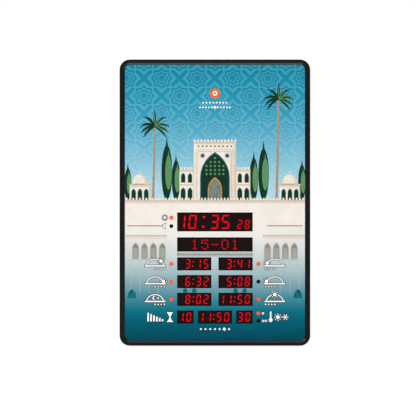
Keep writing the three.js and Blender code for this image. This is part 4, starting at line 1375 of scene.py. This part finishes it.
big_red = display_finish("big_red", paint(255, 0, 20), 1.15)
small_red = display_finish("small_red", paint(250, 0, 22), 1.25)
dot_red = display_finish("dot_red", paint(232, 12, 26), 1.3, edge_glow=1)
small_displays = [
    "isha_display", "maghrib_display", "asr_display", "dhuhr_display", "sunrise_display",
    "fajr_display", "iqamah_display", "jumuah_display", "temperature_display",
]
dot_red.put_on(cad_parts["date_display"])


def crown_bars(node, finish, slope):
    merged_copy(node)
    clear_flat_edges()
    pick("faces", facing_face(display_low.y, -1))
    bpy.ops.mesh.inset(thickness=slope, depth=crown, use_individual=True)
    block = register(close_mesh(), node + "_block", "display_face", replaced=(node,))
    finish.put_on(block)


crown_bars("clock_display", big_red, big_slope)
for name in small_displays:
    crown_bars(name, small_red, small_slope)

# %% [markdown]
# Where a bar isn't lit, its diffuser still shows as a shade a little paler than the block. An
# eight in every cell is the quickest way to draw these: the lit bars stand in front of it.
# Each bar is a rectangle whose inner corners are drawn in, so bars meet in a mitre, and the
# whole digit leans. The date's dots are drawn once for each lamp of its eight-by-eight modules.

# %% Unlit bars
bar_gap = 0.35
lean = math.tan(math.radians(5))
window_overlap = 1
big_digit = {"height": 24.8, "width": 13.6, "stroke": 3, "pitch": 19.3, "colon": 19.3}
small_digit = {"height": 16.4, "width": 8.4, "stroke": 2.1, "pitch": 13.1, "colon": 5.6}


def eight(center, middle, digit):
    """All seven bars of one digit round (center, middle)."""
    side, top, stroke = digit["width"] / 2, digit["height"] / 2, digit["stroke"]

    def lay(x, z, width, height):
        def mitre(corners):
            for point in corners:
                across, up = point.co.x / mm - center, point.co.z / mm - middle
                if z and x:
                    if abs(across) < abs(x):
                        low, high = stroke / 2 + bar_gap, top - stroke - bar_gap
                        up = math.copysign(min(max(abs(up), low), high), up)
                elif z and abs(up) < abs(z):
                    across *= (side - stroke - bar_gap) / (side - bar_gap)
                point.co.x = (center + across + lean * up) * mm
                point.co.z = (middle + up) * mm

        bar(center + x, middle + z, width, height)
        reshape(mitre)

    lay(0, 0, 2 * (side - stroke - bar_gap), stroke)
    for way in (-1, 1):
        lay(0, way * (top - stroke / 2), 2 * (side - bar_gap), stroke)
        for hand in (-1, 1):
            lay(hand * (side - stroke / 2), way * top / 2, stroke, top - 2 * bar_gap)


def eights(node, cells, digit, inset, drop=0):
    """Eights from the right, as many as the text has, with its colon's room left free."""
    _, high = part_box(node)
    edge = high.x / mm - window_overlap - inset
    for cell in cells:
        if cell == ":":
            edge -= digit["colon"]
        else:
            center = edge - digit["width"] / 2 - lean * digit["height"] / 2
            eight(center, in_mm(node).z - drop, digit)
            edge -= digit["pitch"]


open_ink()
eights("clock_display", "88:88", big_digit, 39.4)
eights("clock_display", "88", small_digit, 4.6, drop=4.2)
for node in small_displays:
    paired = node in ("iqamah_display", "temperature_display")
    eights(node, "88" if paired else "88:88", small_digit, 3.6 if paired else 4.4)
unlit_red = ink("unlit_red", (32, 19, 18), (29, 17, 16), 500, fades=False)
close_ink("unlit_bars", unlit_red, 1, melt=False, on_y=display_face_y, slot="display_face")

# %% Unlit dots
dot_pitch = 2.51
date_middle = in_mm("date_display").z
open_ink()
for row in range(-4, 4):
    for column in range(-23, 24):
        disc(column * dot_pitch, date_middle + row * dot_pitch, 0.9, 6)
close_ink("unlit_dots", unlit_red, 1, melt=False, on_y=display_face_y, slot="display_face")

# %% [markdown]
# ## Lamps
#
# Each lamp is a light emitting diode: a clear body with a flange at its foot and a low dome
# that comes up flush in a hole of the print, and nearly fills it. It is raised ring by ring
# from a circle. A lit one glows orange with a yellow heart at its tip, an unlit one is nearly
# black.

# %% Raise a round piece ring by ring
def raise_rings(place, rings, sides):
    """Starts at the first ring's circle and extrudes to each next (radius, y)."""
    start_fresh()
    (radius, y), *rest = rings
    bpy.ops.mesh.primitive_circle_add(
        vertices=sides,
        radius=radius,
        fill_type="NGON",
        location=(place.x, y, place.z),
        rotation=upright,
    )
    open_mesh()
    for next_radius, next_y in rest:
        push(next_y - y)
        share = next_radius / radius
        bpy.ops.transform.resize(
            value=(share, 1, share), center_override=(place.x, next_y, place.z)
        )
        radius, y = next_radius, next_y


dome_height = 2.5 * mm
lamp_flange = 1 * mm
lamp_names = [
    "am", "pm", "asr", "maghrib", "isha", "fajr", "sunrise", "dhuhr", "celsius", "fahrenheit",
]
unlit_names = ["pm", "sunrise", "fahrenheit"]
lamp_low, lamp_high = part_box("am_lamp")
flange_radius = (lamp_high.x - lamp_low.x) / 2
lamp_radius = flange_radius - 0.08 * mm
dome_base_y = lamp_low.y + dome_height
dome_rings = [
    (lamp_radius * math.cos(angle), dome_base_y - dome_height * math.sin(angle))
    for angle in (math.radians(degrees) for degrees in (0, 15, 30, 45, 60, 74, 85))
]
raise_rings(
    middle_of("am_lamp"),
    [
        (flange_radius, lamp_high.y),
        (flange_radius, lamp_high.y - lamp_flange),
        (lamp_radius, lamp_high.y - lamp_flange),
        *dome_rings,
    ],
    32,
)
first_lamp = settle("lamp_am", slot="lit_lamp", replaced=("am_lamp",))
smooth(35)

# %% Lit and unlit lamps
lit = Finish("lit_lamp")
depth = lit.axes()[1]
heart_depth = 0.28 * mm
heart = lit.stretch(depth, lamp_low.y, lamp_low.y + heart_depth, 1, 0)
lit.set(
    Base_Color=paint(120, 30, 4),
    Emission_Color=lit.mix(heart, paint(250, 78, 0), paint(255, 186, 16)),
    Emission_Strength=1.0,
    Roughness=0.15,
    Specular_IOR_Level=0.08,
)
unlit = moulded("unlit_lamp", paint(20, 9, 8), 0.15, 700, 0.002 * mm, specular=0.12)
lit.put_on(first_lamp)
for name in lamp_names[1:]:
    node = name + "_lamp"
    slot, finish = ("unlit_lamp", unlit) if name in unlit_names else ("lit_lamp", lit)
    shift = middle_of(node) - middle_of("am_lamp")
    finish.put_on(copy_to(first_lamp, "lamp_" + name, shift, slot, replaced=(node,)))

# %% [markdown]
# Light leaks from a lit lamp into the edge of the film, so each lamp looks wider than its
# hole. A thin ring of film round each hole has this glow painted on: it glows by emission where
# the lamp is lit, though the film is no lamp. Where the lamp isn't lit, the ring is painted as
# dark as the hole: the dark of the unlit lamp and painted shade, so the hole looks wider.

# %% Rings of painted glow and painted shade round the lamp holes
ring_radius = 3.45
ring_width = 0.45


def lamp_rings(name, finish, dark):
    open_ink()
    for lamp in lamp_names:
        if (lamp in unlit_names) == dark:
            spot = in_mm(lamp + "_lamp")
            disc(spot.x, spot.z, ring_radius, 28)
            bpy.ops.mesh.inset(thickness=ring_width * mm)
            bpy.ops.mesh.delete(type="FACE")
    close_ink(name, finish, 9, melt=False)


# The lit rings' orange colour and emission are a painted glow on the film.
painted_glow_film = ink("painted_glow_film", (150, 40, 4), (140, 34, 2), 500, fades=False)
painted_glow_film.set(Emission_Color=paint(240, 66, 0), Emission_Strength=0.7)
# The unlit rings' near-black colour is painted shade, as dark as the hole.
painted_shade_film = ink("painted_shade_film", (16, 14, 14), (12, 10, 10), 500, fades=False)
lamp_rings("painted_glow_ring", painted_glow_film, dark=False)
lamp_rings("painted_shade_ring", painted_shade_film, dark=True)

# %% [markdown]
# ## The rear cover
#
# The measured cover has every rib, pin, vent and hole. On the real moulding the outer face
# also has a groove along its rim, sunk fields round the keys and the hanging holes, a ring
# round the grille, an empty field for a label, and edges that are a little round. A copy of
# the measured cover gets these: shallow flat tools are cut out of it, and then the edges of
# the outer face are bevelled.

# %% Shallow tools
cover_low, cover_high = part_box("rear_cover")
field_depth = 0.8 * mm


def field_tool(x, z, width, height, corner, line=None):
    """A flat tool with rounded corners, or only a ring along its outline."""
    foot = (x * mm, cover_high.y - field_depth, z * mm)
    open_plate(foot, width, height, corner * mm, segments=8, unit=mm)
    if line:
        bpy.ops.mesh.inset(thickness=line * mm)
        bpy.ops.mesh.delete(type="FACE")
        select_everything()
    push(2 * field_depth)
    face_outwards()
    return close_mesh()


# %% Cut the fields and the grooves
rim_groove_inset = 2.2
groove_width = (cover_high.x - cover_low.x) / mm - 2 * rim_groove_inset
groove_height = (cover_high.z - cover_low.z) / mm - 2 * rim_groove_inset
first_key, last_key = in_mm("menu_button"), in_mm("sound_button")
key_row_x = (first_key.x + last_key.x) / 2
key_row_width = abs(first_key.x - last_key.x) + 15
speaker = in_mm("speaker_cone")
hanging_hole_x, hanging_hole_z = 100, 203.5
rim_groove = field_tool(0, 0, groove_width, groove_height, 13, 1.2)
key_field = field_tool(key_row_x, first_key.z + 4.2, key_row_width, 19.5, 4)
grille_ring = field_tool(speaker.x, speaker.z, 54, 54, 26.9, 1.6)
label_field = field_tool(0, -40, 112, 58, 4)
hanging_rings = [
    field_tool(side * hanging_hole_x, hanging_hole_z, 22, 34, 5, 1.4) for side in (-1, 1)
]
tools = join([rim_groove, key_field, grille_ring, label_field, *hanging_rings])
moulded_cover = merged_copy("rear_cover")
close_mesh()
carve(moulded_cover, tools)

# %% Round the edges of the outer face
cover_edge_radius = 0.25 * mm
flat_enough = 0.999


def on_outer_face(edge):
    outside = all(near(point.co.y, cover_high.y) for point in edge.verts)
    return outside and len(edge.link_faces) == 2 and edge.calc_face_angle() > math.radians(50)


open_mesh()
clear_flat_edges()
pick("edges", on_outer_face)
bpy.ops.mesh.bevel(offset=cover_edge_radius, segments=2, profile=0.5)
close_mesh()
smooth(20)
open_mesh()
pick("faces", lambda face: abs(face.normal.y) > flat_enough)
bpy.ops.mesh.faces_shade_flat()
close_mesh()
register(moulded_cover, "moulded_cover", "cover_black", replaced=("rear_cover",))
cover_black.put_on(moulded_cover)
print("cover faces:", len(moulded_cover.data.polygons))

# %% [markdown]
# ## Keys and screws at the back
#
# Five rubber keys come through the cover. Each is a stem with a flange that the cover holds
# in, and a dished cap with a raised sign for touch. The same signs stand larger on the cover
# above the keys. The screws are pan heads with a cross.

# %% The set keys
key_names = ["menu", "up", "down", "enter", "sound"]
key_low, key_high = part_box("menu_button")
key_stem_radius = 1.7 * mm
key_cap_radius = 4 * mm
key_flange_radius = 5.5 * mm
key_flange = 1.2 * mm
cap_foot_y = -2.8 * mm
key_dish = 0.5 * mm
flange_under_y = cap_foot_y - key_flange
key_rings = [
    (key_stem_radius, key_low.y),
    (key_stem_radius, flange_under_y),
    (key_flange_radius, flange_under_y),
    (key_flange_radius, cap_foot_y),
    (key_cap_radius, cap_foot_y),
    (key_cap_radius, key_high.y - key_dish),
    (key_cap_radius - 0.2 * mm, key_high.y - 0.15 * mm),
    (key_cap_radius - 0.6 * mm, key_high.y),
    (key_cap_radius - 1.2 * mm, key_high.y - 0.15 * mm),
    (key_cap_radius - 2.4 * mm, key_high.y - 0.4 * mm),
    (key_cap_radius - 3.6 * mm, key_high.y - key_dish),
]


def draw_sign(name, x, z, size):
    """Flat shapes of a key's sign. Seen from behind, left and right change places."""
    if name == "menu":
        for level in (-1.3, 0, 1.3):
            bar(x, z + level * size, 3.6 * size, 0.6 * size)
    elif name in ("up", "down"):
        way = 1 if name == "up" else -1
        disc(x, z, 1.9 * size, 3)
        bpy.ops.transform.resize(value=(1, 1, way), center_override=(x * mm, 0, z * mm))
    elif name == "enter":
        disc(x, z, 1.5 * size, 20)
    else:
        bar(x + 1.5 * size, z, 1.2 * size, 1.5 * size)
        bar(x + 0.2 * size, z, 1.2 * size, 2.8 * size)
        disc(x - 1.5 * size, z, 0.5 * size, 10)


def raise_signs(foot_y, height):
    select_everything()
    push(height)
    select_everything()
    bpy.ops.transform.translate(value=(0, foot_y, 0))


sign_grey = moulded("sign_grey", paint(150, 152, 155), 0.6, 1800, 0.01 * mm, specular=0.3)
for name in key_names:
    node = name + "_button"
    raise_rings(middle_of(node), key_rings, 40)
    key = settle("key_" + name, body=node, slot="key_rubber", replaced=(node,))
    smooth(40)
    open_ink()
    draw_sign(name, in_mm(node).x, in_mm(node).z, 1)
    raise_signs(key_high.y - key_dish - 0.1 * mm, 0.45 * mm)
    sign = settle("sign_" + name, body=node, slot="key_rubber")
    key_rubber.put_on(key)
    sign_grey.put_on(sign)

# %% The same signs on the cover, over the keys
sign_rise = 9.2
open_ink()
for name in key_names:
    spot = in_mm(name + "_button")
    draw_sign(name, spot.x, spot.z + sign_rise, 1.3)
raise_signs(cover_high.y - field_depth - 0.05 * mm, 0.35 * mm)
cover_signs = settle("cover_signs", slot="cover_black")
sign_grey.put_on(cover_signs)

# %% The cover screws
screw_low, screw_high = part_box("cover_screw_1")
screw_head_height = 1.8 * mm
screw_head_radius = (screw_high.x - screw_low.x) / 2
screw_shank_radius = 1.45 * mm
head_under_y = screw_high.y - screw_head_height
first_screw_middle = middle_of("cover_screw_1")
plain_end = 1.2 * mm
thread_pitch = 0.9 * mm
thread_depth = 0.3 * mm
thread_rings = []
thread_y = screw_low.y + plain_end
while thread_y < head_under_y - plain_end:
    thread_rings.append((screw_shank_radius, thread_y))
    thread_rings.append((screw_shank_radius - thread_depth, thread_y + 0.4 * mm))
    thread_y += thread_pitch
raise_rings(
    first_screw_middle,
    [
        (0.2 * mm, screw_low.y),
        *thread_rings,
        (screw_shank_radius - 0.1 * mm, head_under_y),
        (screw_head_radius, head_under_y),
        (screw_head_radius, head_under_y + 0.8 * mm),
        (0.93 * screw_head_radius, head_under_y + 1.25 * mm),
        (0.75 * screw_head_radius, head_under_y + 1.6 * mm),
        (0.45 * screw_head_radius, screw_high.y),
    ],
    36,
)
first_screw = settle("screw_1", slot="screw_steel", replaced=("cover_screw_1",))
cross_length, cross_depth, cross_width = 3.4, 2.2, 0.75
head_middle = (first_screw_middle.x, screw_high.y, first_screw_middle.z)
for arm in ((cross_length, cross_depth, cross_width), (cross_width, cross_depth, cross_length)):
    start_fresh()
    bpy.ops.mesh.primitive_cube_add(size=mm, location=head_middle)
    open_mesh()
    bpy.ops.transform.resize(value=arm, center_override=head_middle)
    carve(first_screw, close_mesh())
smooth(30)
zinc.put_on(first_screw)
for name in screw_names[1:]:
    shift = middle_of(name) - first_screw_middle
    twin_name = name.replace("cover_", "")
    zinc.put_on(copy_to(first_screw, twin_name, shift, "screw_steel", replaced=(name,)))

# %% [markdown]
# ## Everything else that the measured model shows
#
# The boards, the cables, the loudspeaker and the small parts on the boards have the right
# shapes already, so they only get their finishes.

# %% Finishes for the measured parts
receiver_dark = moulded("receiver_dark", paint(24, 14, 14), 0.3, 1200, 0.002 * mm, specular=0.06)
worn_by = {
    receiver_dark: ["remote_receiver"],
    panel_dark: ["front_panel"],
    tape_white: ["panel_tape"],
    board_green: ["display_board", "main_board", "control_board"],
    component_black: [
        "controller_chip", "coin_cell_holder", "dc_jack", "temperature_sensor",
        *[name + "_switch" for name in key_names],
    ],
    nickel: ["coin_cell", "dc_jack_pin", "speaker_basket"],
    ferrite: ["speaker_magnet"],
    cone_paper: ["speaker_cone"],
    surround_rubber: ["speaker_surround"],
    cable_grey: ["display_cable", "control_cable", "speaker_cable"],
}
for finish, names in worn_by.items():
    finish.put_on(*[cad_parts[name] for name in names])

# %% [markdown]
# ## The floor
#
# The clock hangs clear of a plain pale floor, whose shadow is soft because it is far below.

# %% Floor
floor_drop = 450 * mm
floor_width = 2
floor_front = -0.25
floor_back = 1.2
start_fresh()
bpy.ops.mesh.primitive_plane_add(
    size=1, location=(0, (floor_front + floor_back) / 2, -floor_drop)
)
floor = bpy.context.object
floor.scale = (floor_width, floor_back - floor_front, 1)
bpy.ops.object.transform_apply()
floor.name = "floor"
floor_finish = Finish("floor_pale")
floor_finish.set(Base_Color=paint(246, 246, 246), Roughness=0.9)
floor_finish.put_on(floor)
